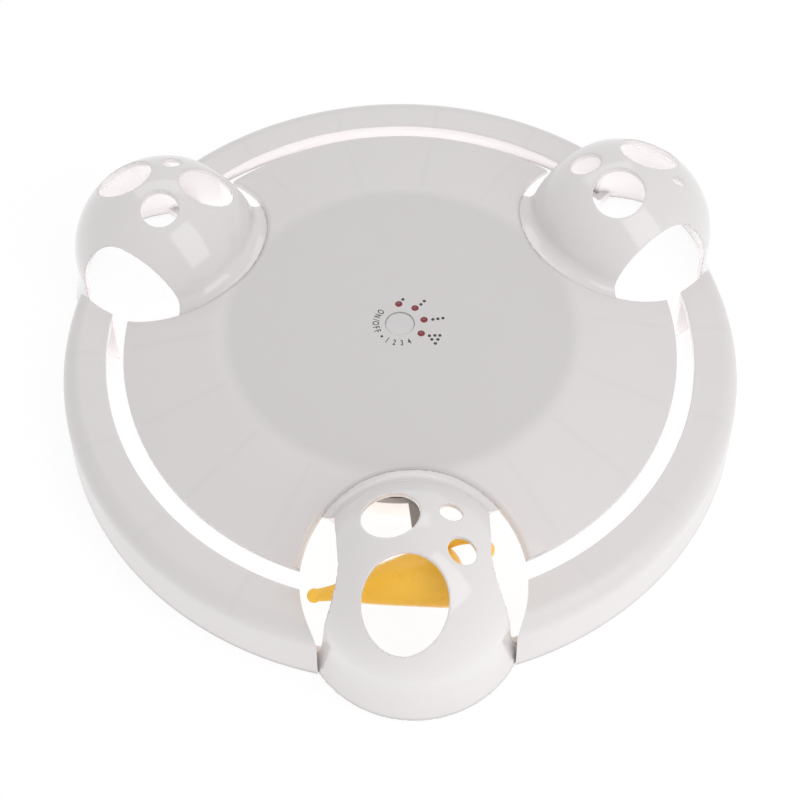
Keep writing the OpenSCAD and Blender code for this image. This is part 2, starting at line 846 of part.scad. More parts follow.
module board_screws() {
    color("silver")
        for (x = [-board_screw_x, board_screw_x])
            translate([x, 0, board_top_z - board_t])
                screw(board_t + board_screw_len - 0.5);
}

module tact_switch() {
    color("dimgray")
        difference() {
            translate([-switch_w / 2, -switch_w / 2, board_top_z])
                cube([switch_w, switch_w, switch_h]);
            translate([0, 0, button_z0 - plunger_h - plunger_room])
                cylinder(r = plunger_r + run_gap, h = plunger_h + plunger_room);
        }
}

module switch_plunger() {
    color("black")
        translate([0, 0, button_z0 - plunger_h])
            cylinder(r = plunger_r, h = plunger_h);
}

module control_chip() {
    color("black")
        translate([board_x / 4 - chip_w / 2, -board_y / 4 - chip_w / 2, board_top_z])
            cube([chip_w, chip_w, chip_h]);
}

module button() {
    color("white") {
        translate([0, 0, button_z0])
            cylinder(r = button_flange_r, h = button_flange_h);
        translate([0, 0, button_z0])
            cylinder(r = button_r, h = button_z1 - button_z0);
    }
}

module led(i) {
    color("darkred")
        at_polar(led_ring_r, led_az0 - i * led_step)
            translate([0, 0, board_top_z]) {
                cylinder(r = led_base_r, h = led_base_h);
                cylinder(r = led_r, h = plateau_z + led_up - board_top_z);
            }
}

// Ball and skirt of a dome, drawn in by inset, round the dome's own axis
module dome_form(inset) {
    translate([0, 0, dome_z])
        intersection() {
            sphere(r = dome_r - inset);
            translate([-2 * dome_r, -2 * dome_r, 0])
                cube([4 * dome_r, 4 * dome_r, 2 * dome_r]);
        }
    rotate_extrude()
        polygon(concat([[0, 0]],
                       [for (i = [0 : flare_steps]) let (z = dome_z * i / flare_steps)
                           [skirt_radius(z) - inset, z]],
                       [[0, dome_z]]));
}

// Door tunnel along the track, an arch turned about the middle of the toy
module door_tunnel() {
    rotate_extrude()
        polygon(concat([[slot_r - arch_in_w, -eps]],
                       [for (i = [0 : arch_steps]) let (a = 90 * i / arch_steps)
                           [slot_r - arch_in_w * cos(a), arch_spring_z + (arch_top_z - arch_spring_z) * sin(a)]],
                       [for (i = [1 : arch_steps]) let (a = 90 * i / arch_steps)
                           [slot_r + arch_out_w * sin(a), arch_spring_z + (arch_top_z - arch_spring_z) * cos(a)]],
                       [[slot_r + arch_out_w + door_flare, 0], [slot_r + arch_out_w + door_flare, -eps]]));
}

// Tongue of a dome that reaches into the rim on one side, grown by gap
module tongue(side, gap) {
    mirror([0, side < 0 ? 1 : 0, 0])
        rotate([0, 0, tongue_a0])
            rotate_extrude(angle = tongue_a1 - tongue_a0)
                translate([tongue_r0 - gap, tongue_z0 - gap])
                    square([tongue_t + 2 * gap, tongue_h + 2 * gap]);
}

module tongue_root(side) {
    mirror([0, side < 0 ? 1 : 0, 0])
        rotate([0, 0, tongue_a0])
            rotate_extrude(angle = tongue_root_a)
                translate([tongue_r0, tongue_z0])
                    square([rim_r - tongue_r0, tongue_h]);
}

// Cut for a peep hole whose middle lies at height up over the ball's centre
module peep_hole(h, up) {
    translate([dome_ring_r + h[0], h[1], dome_z + up])
        rotate([0, h[3], 0])
            translate([0, 0, hole_start - up])
                cylinder(r = h[2], h = dome_r);
}

module dome(az, holes) {
    color("white")
        rotate([0, 0, az]) {
            difference() {
                union() {
                    translate([dome_ring_r, 0, 0])
                        dome_form(0);
                    intersection() {
                        translate([dome_ring_r, 0, 0])
                            cylinder(r = flange_r, h = 2 * plateau_z);
                        cover_slab(-cover_t, flange_up);
                    }
                }
                translate([dome_ring_r, 0, -eps])
                    cylinder(r = dome_foot_r - dome_wall, h = eps + 0.01);
                translate([dome_ring_r, 0, 0])
                    dome_form(dome_wall);
                rotate_extrude()
                    polygon(concat([[0, -eps]], cover_line(-cover_t - skirt_drop), [[slot_in, -eps]]));
                door_tunnel();
                for (h = holes)
                    peep_hole(h, sqrt(dome_r * dome_r - h[0] * h[0] - h[1] * h[1]));
            }
            // Snap hooks under the cover
            intersection() {
                cover_slab(-cover_t - hook_gap - hook_t, -cover_t - hook_gap);
                translate([dome_ring_r, 0, 0])
                    for (a = [180 - hook_az, 180 + hook_az])
                        rotate([0, 0, a])
                            translate([dome_r - dome_wall, -hook_w / 2, 0])
                                cube([hook_reach - dome_r + dome_wall, hook_w, plateau_z]);
            }
            for (side = [-1, 1]) {
                tongue(side, 0);
                tongue_root(side);
            }
        }
}

module rim_solid(span) {
    rotate_extrude(angle = span)
        polygon(concat([[slot_out, 0]], rim_line(0), [[slot_out, rim_h]]));
}

module rim_hollow(span) {
    rotate_extrude(angle = span)
        polygon(concat([[slot_out - eps, -eps], [rim_line(rim_wall)[0][0], -eps]],
                       rim_line(rim_wall),
                       [[slot_out + rim_wall, rim_h - rim_wall], [slot_out + rim_wall, rim_h - rim_lip],
                        [slot_out - eps, rim_h - rim_lip]]));
}

// Room for a dome, seen by the rim, grown by gap
module rim_end_cut(az, gap) {
    at_polar(dome_ring_r, az)
        translate([0, 0, -eps])
            cylinder(r1 = dome_foot_r + dome_gap + gap, r2 = dome_foot_r + dome_gap - rim_end_lean + gap,
                     h = rim_h + 2 * eps);
}

// Rim segment from the dome at az to the next dome
module rim(az) {
    span = dome_step - 2 * dome_half_span;
    color("white")
        difference() {
            union() {
                difference() {
                    rotate([0, 0, az + dome_half_span])
                        rim_solid(span);
                    difference() {
                        rotate([0, 0, az + dome_half_span])
                            rim_hollow(span);
                        rim_end_cut(az, rim_wall);
                        rim_end_cut(az + dome_step, rim_wall);
                    }
                }
                intersection() {
                    rotate([0, 0, az + dome_half_span])
                        rim_solid(span);
                    for (a = [az + rim_rib_az : rib_step : az + dome_step - rim_rib_az])
                        rotate([0, 0, a])
                            translate([slot_out + rim_wall / 2, -rib_t / 2, rim_h - rim_lip])
                                cube([rim_r - slot_out, rib_t, rim_lip]);
                }
            }
            rim_end_cut(az, 0);
            rim_end_cut(az + dome_step, 0);
            rotate([0, 0, az])
                tongue(1, tongue_gap);
            rotate([0, 0, az + dome_step])
                tongue(-1, tongue_gap);
        }
}

base_tray();
anti_slip_ring();
centre_foot();
battery_door();
battery_door_screw();
battery_cell(0);  // battery_cell_1
battery_cell(1);  // battery_cell_2
battery_cell(2);  // battery_cell_3
contact_plate(-1);  // contact_plate_minus
contact_plate(1);  // contact_plate_plus
contact_springs();
motor();
motor_clamp();
motor_screws();
motor_pinion();
gear_axle();
compound_gear();
turntable();
mouse_base();
mouse_body();
mouse_tail();
top_cover();
cover_screws();
circuit_board();
board_screws();
tact_switch();
switch_plunger();
control_chip();
button();
led(0);  // led_1
led(1);  // led_2
led(2);  // led_3
led(3);  // led_4
dome(front_az, front_holes);  // dome_front
dome(right_az, right_holes);  // dome_right
dome(left_az, left_holes);  // dome_left
rim(right_az);  // rim_rear
rim(left_az);  // rim_front_left
rim(front_az);  // rim_front_right
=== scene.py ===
"""Looks of the mouse turntable cat toy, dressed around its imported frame. Metres, +Z up."""

import json
import math

import bmesh
import bpy
import numpy as np
from mathutils import Matrix, Vector


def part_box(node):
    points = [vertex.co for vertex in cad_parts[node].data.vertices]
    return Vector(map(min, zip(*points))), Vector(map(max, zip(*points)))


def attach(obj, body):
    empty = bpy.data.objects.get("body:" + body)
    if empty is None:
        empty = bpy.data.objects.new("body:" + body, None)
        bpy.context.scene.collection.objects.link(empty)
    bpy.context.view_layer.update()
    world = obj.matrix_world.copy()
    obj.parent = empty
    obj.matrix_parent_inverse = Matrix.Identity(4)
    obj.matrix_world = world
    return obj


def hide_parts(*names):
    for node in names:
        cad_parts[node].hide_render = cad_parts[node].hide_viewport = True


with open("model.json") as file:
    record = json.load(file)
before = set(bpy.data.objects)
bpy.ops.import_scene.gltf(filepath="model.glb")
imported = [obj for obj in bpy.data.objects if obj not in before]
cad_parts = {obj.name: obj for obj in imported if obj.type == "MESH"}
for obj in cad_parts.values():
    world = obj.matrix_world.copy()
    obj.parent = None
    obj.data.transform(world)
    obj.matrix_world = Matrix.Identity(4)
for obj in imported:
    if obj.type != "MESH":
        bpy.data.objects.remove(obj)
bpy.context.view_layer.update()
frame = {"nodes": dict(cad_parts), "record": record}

MM = 0.001

# Camera at the photograph's viewing angle
CAMERA_PLACE = (-15.07, -358.26, 512.60)
CAMERA_RIGHT = (0.99890, -0.04694, -0.00341)
CAMERA_UP = (0.04041, 0.81845, 0.57320)
CAMERA_BACK = (-0.02411, -0.57269, 0.81942)
CAMERA_LENS = 74.30
SENSOR = 36.0
CAMERA_SHIFT = (-0.0003, -0.0274)

# Sizes that new pieces share with the solids, in millimetres and degrees; COVER_SLOPE in radians
PLATEAU_Z = 34.5
PLATEAU_R = 64.5
BLEND_R = 30.0
COVER_EDGE_Z = 25.2
COVER_T = 2.2
SLOT_R = 104.2
SLOT_W = 6.5
SLOT_IN = SLOT_R - SLOT_W / 2.0
SLOT_OUT = SLOT_R + SLOT_W / 2.0
COVER_SLOPE = math.atan((PLATEAU_Z - COVER_EDGE_Z) / (SLOT_IN - PLATEAU_R))
RIM_R = 124.65
RIM_DRAFT = 1.2
RIM_H = 24.2
RIM_ROUND = 7.1
RIM_WALL = 2.2
RIM_LIP = 3.2
RIM_END_LEAN = 1.0
RIM_END_OVER = 0.5
DOME_STEP = 120.0
DOME_RING_R = 100.0
DOME_R = 35.35
DOME_Z = 22.0
DOME_FOOT_R = 38.7
DOME_WALL = 2.2
DOME_GAP = 0.3
FLANGE_R = 38.15
FLANGE_UP = -1.2
FLANGE_GAP = 0.3
CUT_R = FLANGE_R + FLANGE_GAP
SKIRT_DROP = 3.0
HOLE_START = 2.0
ARCH_SPRING = 24.0
ARCH_IN = 23.0
ARCH_OUT = 16.9
DOOR_FLARE = -1.2
HOOK_AZ = 40.0
HOOK_W = 6.0
HOOK_T = 2.0
HOOK_GAP = 0.15
HOOK_REACH = FLANGE_R + 1.7
TONGUE_T = 2.4
TONGUE_H = 3.6
TONGUE_Z = 1.2
TONGUE_R = RIM_R - 8.0
ROOT_INSET = 0.4
ROOT_A = 1.6
TONGUE_END_A = 2.0
BUTTON_R = 5.35
BUTTON_UP = -0.45
BUTTON_FOOT_Z = 31.7
BUTTON_LEDGE = 1.45
BUTTON_LEDGE_T = 0.5
LED_COUNT = 4
LED_R = 1.3
LED_UP = 0.15
LED_LEDGE = 0.35
LED_LEDGE_T = 1.0
LED_RING_R = 8.9
LED_AZ0 = 90.0
LED_STEP = 41.0
MOUSE_AZ = -86.5
MOUSE_Z = 27.6
MOUSE_NOSE = 39.0
MOUSE_FRONT = 43.0
MOUSE_RUMP = 6.2
MOUSE_R = 10.4
MOUSE_SWELL = 1.8
MOUSE_POWER = 2.6
MOUSE_TILT = 5.0
MOUSE_BASE_T = 1.5
SNOUT_R = 2.1
SNOUT_H = 2.8
NOSE_R = 2.4
NOSE_SET = -0.2 * NOSE_R
RIB_STEP = 20.0
RIB_FIRST = 30.0
RIB_COUNT = 4
RIB_T = 1.2
RIB_INSET = RIM_WALL / 2.0

# Sizes that only the new pieces have, in millimetres; the door arches of the solids are 0.8 higher
ARCH_TOP = 46.9
FILLET = 4.5
HOLE_EDGE = 0.5
CUT_ROLL = 2.0
FLANGE_LAP = 0.1
RIM_EDGE = 0.6
RIM_INNER_EDGE = 0.1
RIB_LENGTH = 11.4
POST_INSET = 0.5
BUTTON_ROUND = 0.45
LED_RISE = 0.5
PRINT_T = 0.04
PRINT_BEVEL = 0.94
# Lower edge of the mouse: half its width at the nose, its growth to the rear and upwards, its softness
MOUSE_EDGE = 0.95
MOUSE_SPREAD = 0.164
MOUSE_LEAN = 0.5
MOUSE_SOFT = 1.0
# Dish of the button: radius and depth of its points
BUTTON_DISH = [(4.15, 0.03), (2.675, 0.14), (0.0, 0.18)]

# How finely meshes are made: grid of the domes in millimetres, welding distance in metres
DOME_GRID = 0.5
WELD = 0.000001
# Edges steeper than these angles stay sharp, in degrees
DOME_SHARP = 50.0
NODE_SHARP = 35.0
FORM_SHARP = 40.0

# Scales of the noise in the materials, and the range in which most of its values lie
CLOUDS = 38.0
WEAR = 160.0
GRAIN = 2600.0
GRAIN_DEPTH = 0.00006
NOISE_LOW = 0.3
NOISE_HIGH = 0.7
SHELL_MOTTLE = 0.03
# Painted shade of the ribs under the thin plastic, which keep out the light from below: how dark its
# lines are, half the width of a line and of its soft edge, and its fading ends
RIB_PAINTED_SHADE = 0.035
RIB_LINE = 0.4 * MM
RIB_SOFT = 1.9 * MM
RIB_FADE = 3.0
# How far inside the ribs' start the painted shade over the housing begins to fade out, in millimetres
HOUSING_SHADE_FADE = 4.0


def srgb(red, green, blue):
    """Linear colour of a display colour given from 0 to 255."""
    def linear(level):
        share = level / 255.0
        return share / 12.92 if share <= 0.04045 else ((share + 0.055) / 1.055) ** 2.4
    return (linear(red), linear(green), linear(blue), 1.0)


class Nodes:
    """Short ways to make and join the nodes of one material."""

    def __init__(self, material):
        material.use_nodes = True
        self.tree = material.node_tree
        self.shader = self.tree.nodes["Principled BSDF"]
        self.coords = self.tree.nodes.new("ShaderNodeTexCoord").outputs["Object"]

    def join(self, source, socket):
        self.tree.links.new(source, socket)

    def noise(self, scale, detail=3.0, stretch=None):
        node = self.tree.nodes.new("ShaderNodeTexNoise")
        node.inputs["Scale"].default_value = scale
        node.inputs["Detail"].default_value = detail
        if stretch:
            mapping = self.tree.nodes.new("ShaderNodeMapping")
            mapping.inputs["Scale"].default_value = stretch
            self.join(self.coords, mapping.inputs["Vector"])
            self.join(mapping.outputs["Vector"], node.inputs["Vector"])
        else:
            self.join(self.coords, node.inputs["Vector"])
        return node.outputs["Fac"]

    def math(self, operation, first, second=None):
        node = self.tree.nodes.new("ShaderNodeMath")
        node.operation = operation
        for socket, value in zip(node.inputs, (first, second)):
            if value is None:
                continue
            if isinstance(value, (int, float)):
                socket.default_value = value
            else:
                self.join(value, socket)
        return node.outputs["Value"]

    def spread(self, value, low, high, to_low, to_high, smooth=False):
        node = self.tree.nodes.new("ShaderNodeMapRange")
        if smooth:
            node.interpolation_type = "SMOOTHSTEP"
        self.join(value, node.inputs["Value"])
        node.inputs["From Min"].default_value = low
        node.inputs["From Max"].default_value = high
        node.inputs["To Min"].default_value = to_low
        node.inputs["To Max"].default_value = to_high
        return node.outputs["Result"]

    def mix(self, share, first, second):
        """Mix of two colours; sockets go by number, as those of other kinds have the same names."""
        node = self.tree.nodes.new("ShaderNodeMix")
        node.data_type = "RGBA"
        self.join(share, node.inputs["Factor"])
        for socket, value in ((node.inputs[6], first), (node.inputs[7], second)):
            if isinstance(value, tuple):
                socket.default_value = value
            else:
                self.join(value, socket)
        return node.outputs[2]

    def split(self):
        node = self.tree.nodes.new("ShaderNodeSeparateXYZ")
        self.join(self.coords, node.inputs["Vector"])
        return node.outputs["X"], node.outputs["Y"], node.outputs["Z"]

    def bump(self, height, distance, strength):
        node = self.tree.nodes.new("ShaderNodeBump")
        node.inputs["Strength"].default_value = strength
        node.inputs["Distance"].default_value = distance
        self.join(height, node.inputs["Height"])
        self.join(node.outputs["Normal"], self.shader.inputs["Normal"])

    def paint(self, pattern, first, second):
        """Base colour that goes from one colour to another with a pattern."""
        self.join(self.mix(pattern, first, second), self.shader.inputs["Base Color"])

    def gloss(self, pattern, low, high):
        """Roughness that goes from one value to another with a pattern."""
        level = self.spread(pattern, NOISE_LOW, NOISE_HIGH, low, high)
        self.join(level, self.shader.inputs["Roughness"])


def shaded(colour, share):
    """A colour made darker by the given share."""
    return tuple(channel * (1.0 - share) for channel in colour[:3]) + (1.0,)


def plastic(name, colour, roughness, grain=0.0, mottle=0.03, coat=0.0, soft=0.0):
    """Moulded plastic: cloudy colour, uneven gloss and, where grain is set, a fine moulded grain."""
    material = bpy.data.materials.new(name)
    n = Nodes(material)
    n.paint(n.noise(CLOUDS, 4.0), shaded(colour, mottle), colour)
    n.gloss(n.noise(WEAR, 5.0), roughness * 0.88, roughness * 1.12)
    if grain:
        n.bump(n.noise(GRAIN, 2.0), GRAIN_DEPTH, grain)
    n.shader.inputs["Coat Weight"].default_value = coat
    n.shader.inputs["Coat Roughness"].default_value = 0.08
    if soft:
        n.shader.inputs["Subsurface Weight"].default_value = soft
        n.shader.inputs["Subsurface Radius"].default_value = (1.0, 0.9, 0.85)
        n.shader.inputs["Subsurface Scale"].default_value = 0.0015
    return material


def plastic_with_painted_shade(name, colour, roughness, grain, rib_from, rib_to, middle=0.0):
    """Moulded plastic with painted shade of what keeps out the light from below: faint lines over the
    ribs, and the middle darker by the share middle over the housing.
    """
    material = bpy.data.materials.new(name)
    n = Nodes(material)
    x, y, _ = n.split()
    radius = n.math("SQRT", n.math("ADD", n.math("MULTIPLY", x, x), n.math("MULTIPLY", y, y)))
    turn = n.math("DIVIDE", n.math("ARCTAN2", y, x), math.radians(RIB_STEP))
    off = n.math("ABSOLUTE", n.math("SUBTRACT", turn, n.math("ROUND", turn)))
    arc = n.math("MULTIPLY", n.math("MULTIPLY", off, math.radians(RIB_STEP)), radius)
    # Painted shade: faint dark lines over the ribs below, which keep out the light from under the thin
    # plastic
    line = n.spread(arc, RIB_LINE, RIB_SOFT, 1.0, 0.0, smooth=True)
    band = n.math("MULTIPLY",
                  n.spread(radius, rib_from * MM, (rib_from + RIB_FADE) * MM, 0.0, 1.0, smooth=True),
                  n.spread(radius, (rib_to - RIB_FADE) * MM, rib_to * MM, 1.0, 0.0, smooth=True))
    plain = n.mix(n.noise(CLOUDS, 4.0), shaded(colour, SHELL_MOTTLE), colour)
    # Painted shade: the middle darker over the housing below, which keeps out the light from under the
    # thin plastic
    inner = (rib_from - HOUSING_SHADE_FADE) * MM
    housing_shade_mask = n.spread(radius, inner, (rib_from + RIB_FADE) * MM, 1.0, 0.0, smooth=True)
    with_housing_shade = n.mix(housing_shade_mask, plain, shaded(colour, middle))
    n.paint(n.math("MULTIPLY", line, band), with_housing_shade, shaded(colour, RIB_PAINTED_SHADE))
    n.gloss(n.noise(WEAR, 5.0), roughness * 0.88, roughness * 1.12)
    n.bump(n.noise(GRAIN, 2.0), GRAIN_DEPTH, grain)
    return material


def metal(name, colour, roughness, stretch):
    """Drawn or turned metal with fine streaks."""
    material = bpy.data.materials.new(name)
    n = Nodes(material)
    n.shader.inputs["Metallic"].default_value = 1.0
    streaks = n.noise(300.0, 3.0, stretch)
    n.paint(streaks, shaded(colour, 0.2), colour)
    n.gloss(streaks, roughness * 0.75, roughness * 1.25)
    return material


def circuit(name):
    """Green board with paler tracks and a fine weave."""
    material = bpy.data.materials.new(name)
    n = Nodes(material)
    tracks = n.tree.nodes.new("ShaderNodeTexBrick")
    tracks.inputs["Scale"].default_value = 180.0
    tracks.inputs["Color1"].default_value = srgb(20, 84, 48)
    tracks.inputs["Color2"].default_value = srgb(24, 92, 54)
    tracks.inputs["Mortar"].default_value = srgb(64, 140, 86)
    tracks.inputs["Mortar Size"].default_value = 0.03
    n.join(n.coords, tracks.inputs["Vector"])
    n.join(tracks.outputs["Color"], n.shader.inputs["Base Color"])
    n.gloss(n.noise(400.0), 0.3, 0.45)
    n.bump(tracks.outputs["Fac"], 0.0001, 0.3)
    return material


def wrapped_cell(name):
    """Shrink-wrapped cell: a plain green wrap with a pale band towards one end."""
    material = bpy.data.materials.new(name)
    n = Nodes(material)
    x, _, _ = n.split()
    band = n.spread(x, 8.0 * MM, 8.4 * MM, 0.0, 1.0)
    wrap = n.mix(n.noise(90.0), srgb(44, 96, 66), srgb(52, 110, 76))
    n.paint(band, wrap, srgb(214, 208, 190))
    n.gloss(n.noise(240.0), 0.22, 0.32)
    return material


def rubber(name, colour):
    """Matt rubber with a coarse moulded grain."""
    material = bpy.data.materials.new(name)
    n = Nodes(material)
    n.paint(n.noise(120.0, 4.0), shaded(colour, 0.12), colour)
    n.gloss(n.noise(500.0), 0.7, 0.85)
    n.bump(n.noise(900.0, 2.0), 0.0002, 0.4)
    return material


def lens(name, colour, glow):
    """Tinted lens of an indicator light, with a faint glow."""
    material = bpy.data.materials.new(name)
    n = Nodes(material)
    n.paint(n.noise(700.0, 2.0), shaded(colour, 0.25), colour)
    n.shader.inputs["Roughness"].default_value = 0.12
    n.shader.inputs["Coat Weight"].default_value = 0.3
    n.shader.inputs["Emission Color"].default_value = colour
    n.shader.inputs["Emission Strength"].default_value = glow
    return material


SHELL = srgb(220, 216, 216)
materials = {
    # Cover and rim carry painted shade of the ribs below them; the cover's middle also carries painted
    # shade over the housing
    "cover": plastic_with_painted_shade("cover_plastic", SHELL, 0.34, 0.12, 64.0, 100.0, middle=0.14),
    "rim": plastic_with_painted_shade("rim_plastic", SHELL, 0.32, 0.1, 107.0, 124.0),
    "dome": plastic("dome_plastic", srgb(223, 219, 219), 0.12, coat=0.4, mottle=0.02),
    "tray": plastic("tray_plastic", srgb(218, 214, 212), 0.42, grain=0.25),
    "button": plastic("button_plastic", srgb(206, 204, 204), 0.3, grain=0.08),
    "rotor": plastic("rotor_plastic", srgb(150, 147, 146), 0.4, grain=0.2),
    "gear": plastic("gear_plastic", srgb(226, 214, 188), 0.35, grain=0.05),
    "yellow": plastic("yellow_plastic", srgb(255, 200, 66), 0.3, grain=0.06, mottle=0.05, soft=0.2),
    "rubber": rubber("pad_rubber", srgb(96, 95, 94)),
    "steel": metal("plated_steel", srgb(196, 196, 194), 0.28, (1.0, 1.0, 0.15)),
    "brass": metal("contact_metal", srgb(212, 188, 128), 0.3, (0.2, 1.0, 1.0)),
    "cell": wrapped_cell("cell_wrap"),
    "board": circuit("board_green"),
    "black": plastic("black_plastic", srgb(34, 34, 36), 0.4, grain=0.1, mottle=0.15),
    "lens": lens("red_lens", srgb(132, 10, 28), 0.05),
    "ink": plastic("print_ink", srgb(66, 62, 64), 0.55, mottle=0.2),
}

SLOT_LOOKS = {
    "white_plastic": "cover",
    "tray_plastic": "tray",
    "rotor_plastic": "rotor",
    "gear_plastic": "gear",
    "yellow_plastic": "yellow",
    "rubber": "rubber",
    "steel": "steel",
    "brass": "brass",
    "cell_wrap": "cell",
    "board": "board",
    "black_plastic": "black",
    "red_lens": "lens",
}
NODE_LOOKS = {
    "dome_front": "dome",
    "dome_right": "dome",
    "dome_left": "dome",
    "rim_rear": "rim",
    "rim_front_left": "rim",
    "rim_front_right": "rim",
    "button": "button",
}


def dress_nodes():
    """Gives every node of the frame its material, by its name or else by its slot in the record."""
    slots = {part["node"]: part["material_slot"] for part in frame["record"]["subparts"]}
    for name, node in frame["nodes"].items():
        look = NODE_LOOKS.get(name) or SLOT_LOOKS[slots[name]]
        node.data.materials.clear()
        node.data.materials.append(materials[look])


def piece(name, mesh, look, body):
    """Adds a mesh to the scene as a piece of the object that rides on a body."""
    obj = bpy.data.objects.new(name, mesh)
    bpy.context.scene.collection.objects.link(obj)
    mesh.materials.append(materials[look])
    for polygon in mesh.polygons:
        polygon.use_smooth = True
    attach(obj, body)
    return obj


def mesh_of(name, bm):
    bmesh.ops.recalc_face_normals(bm, faces=bm.faces)
    mesh = bpy.data.meshes.new(name)
    bm.to_mesh(mesh)
    bm.free()
    return mesh


def lathe(profile, segments=64):
    """Closed body of revolution about Z from a profile of radius and height, in millimetres."""
    bm = bmesh.new()
    rings = []
    for radius, height in profile:
        if radius < 1e-6:
            rings.append([bm.verts.new((0.0, 0.0, height))])
            continue
        rings.append([bm.verts.new((radius * math.cos(math.tau * i / segments),
                                    radius * math.sin(math.tau * i / segments), height))
                      for i in range(segments)])
    for low, high in zip(rings, rings[1:]):
        for i in range(segments):
            j = (i + 1) % segments
            corners = [low[i % len(low)], low[j % len(low)], high[j % len(high)], high[i % len(high)]]
            unique = list(dict.fromkeys(corners))
            if len(unique) > 2:
                bm.faces.new(unique)
    return bm


def arc(centre, radius, start, end, steps):
    """Points on an arc, for profiles."""
    return [(centre[0] + radius * math.cos(math.radians(start + (end - start) * i / steps)),
             centre[1] + radius * math.sin(math.radians(start + (end - start) * i / steps)))
            for i in range(steps + 1)]


def place(bm, matrix):
    """Moves a mesh made in millimetres into place and into metres."""
    bm.transform(Matrix.Scale(MM, 4) @ matrix)


def polar(radius, azimuth, height):
    angle = math.radians(azimuth)
    return Matrix.Translation((radius * math.cos(angle), radius * math.sin(angle), height))


def build_camera():
    data = bpy.data.cameras.new("camera")
    data.lens = CAMERA_LENS
    data.sensor_width = SENSOR
    data.shift_x, data.shift_y = CAMERA_SHIFT
    data.clip_start = 0.01
    camera = bpy.data.objects.new("camera", data)
    bpy.context.scene.collection.objects.link(camera)
    turn = Matrix((CAMERA_RIGHT, CAMERA_UP, CAMERA_BACK)).transposed().to_4x4()
    camera.matrix_world = Matrix.Translation(Vector(CAMERA_PLACE) * MM) @ turn
    bpy.context.scene.camera = camera


def seen_straight(tree):
    """Share of a ray that shows the backdrop itself: camera, glossy and transmission rays."""
    path = tree.nodes.new("ShaderNodeLightPath")
    first = tree.nodes.new("ShaderNodeMath")
    first.operation = "MAXIMUM"
    second = tree.nodes.new("ShaderNodeMath")
    second.operation = "MAXIMUM"
    tree.links.new(path.outputs["Is Camera Ray"], first.inputs[0])
    tree.links.new(path.outputs["Is Glossy Ray"], first.inputs[1])
    tree.links.new(first.outputs["Value"], second.inputs[0])
    tree.links.new(path.outputs["Is Transmission Ray"], second.inputs[1])
    return second.outputs["Value"]


# Light of the studio; sizes, distances and heights in metres
WHITE = (1.0, 1.0, 1.0, 1.0)
WORLD_LIGHT = 0.7
FLOOR_SIZE = 3.0
FLOOR_Z = -0.0002
FLOOR_WHITE = 0.86
FLOOR_GLOW = 0.86
FLOOR_SHARE = 0.16
TABLE_LIGHT = 0.58
TABLE_SIZE = 1.2
TABLE_Z = -0.00015
UNDER_LIGHT = 1.05
UNDER_SIZE = 0.236
UNDER_Z = -0.00005
# Softboxes: azimuth, elevation, distance, width, height, share of a plain full light
KEY_LIGHT = (-45.0, 49.0, 0.62, 0.36, 0.6, 0.28)
BACK_LIGHT = (100.0, 48.0, 1.4, 1.2, 0.5, 0.1)


def build_world():
    world = bpy.data.worlds.new("studio")
    bpy.context.scene.world = world
    world.use_nodes = True
    tree = world.node_tree
    light = tree.nodes["Background"]
    light.inputs["Color"].default_value = WHITE
    light.inputs["Strength"].default_value = WORLD_LIGHT
    shown = tree.nodes.new("ShaderNodeBackground")
    shown.inputs["Color"].default_value = WHITE
    shown.inputs["Strength"].default_value = 1.0
    mix = tree.nodes.new("ShaderNodeMixShader")
    tree.links.new(seen_straight(tree), mix.inputs["Fac"])
    tree.links.new(light.outputs["Background"], mix.inputs[1])
    tree.links.new(shown.outputs["Background"], mix.inputs[2])
    tree.links.new(mix.outputs["Shader"], tree.nodes["World Output"].inputs["Surface"])


def build_floor():
    bm = bmesh.new()
    bmesh.ops.create_grid(bm, x_segments=8, y_segments=8, size=FLOOR_SIZE)
    floor = bpy.data.objects.new("floor", mesh_of("floor", bm))
    bpy.context.scene.collection.objects.link(floor)
    floor.location.z = FLOOR_Z
    material = bpy.data.materials.new("floor_white")
    material.use_nodes = True
    tree = material.node_tree
    tree.nodes.remove(tree.nodes["Principled BSDF"])
    paper = tree.nodes.new("ShaderNodeBsdfDiffuse")
    paper.inputs["Color"].default_value = (FLOOR_WHITE, FLOOR_WHITE, FLOOR_WHITE, 1.0)
    faint = tree.nodes.new("ShaderNodeBsdfDiffuse")
    faint.inputs["Color"].default_value = (FLOOR_SHARE, FLOOR_SHARE, FLOOR_SHARE, 1.0)
    glow = tree.nodes.new("ShaderNodeEmission")
    glow.inputs["Strength"].default_value = FLOOR_GLOW
    bright = tree.nodes.new("ShaderNodeAddShader")
    tree.links.new(faint.outputs["BSDF"], bright.inputs[0])
    tree.links.new(glow.outputs["Emission"], bright.inputs[1])
    mix = tree.nodes.new("ShaderNodeMixShader")
    tree.links.new(seen_straight(tree), mix.inputs["Fac"])
    tree.links.new(paper.outputs["BSDF"], mix.inputs[1])
    tree.links.new(bright.outputs["Shader"], mix.inputs[2])
    tree.links.new(mix.outputs["Shader"], tree.nodes["Material Output"].inputs["Surface"])
    floor.data.materials.append(material)


def softbox(name, azimuth, elevation, distance, width, height, share):
    """Area lamp aimed at the toy; share is the part of a plain full light that it gives there."""
    data = bpy.data.lights.new(name, "AREA")
    data.shape = "RECTANGLE"
    data.size = width
    data.size_y = height
    data.energy = share * math.pi ** 2 * distance ** 2
    lamp = bpy.data.objects.new(name, data)
    bpy.context.scene.collection.objects.link(lamp)
    a = math.radians(azimuth)
    e = math.radians(elevation)
    out = Vector((math.cos(e) * math.cos(a), math.cos(e) * math.sin(a), math.sin(e)))
    lamp.location = out * distance
    lamp.rotation_euler = out.to_track_quat("Z", "Y").to_euler()


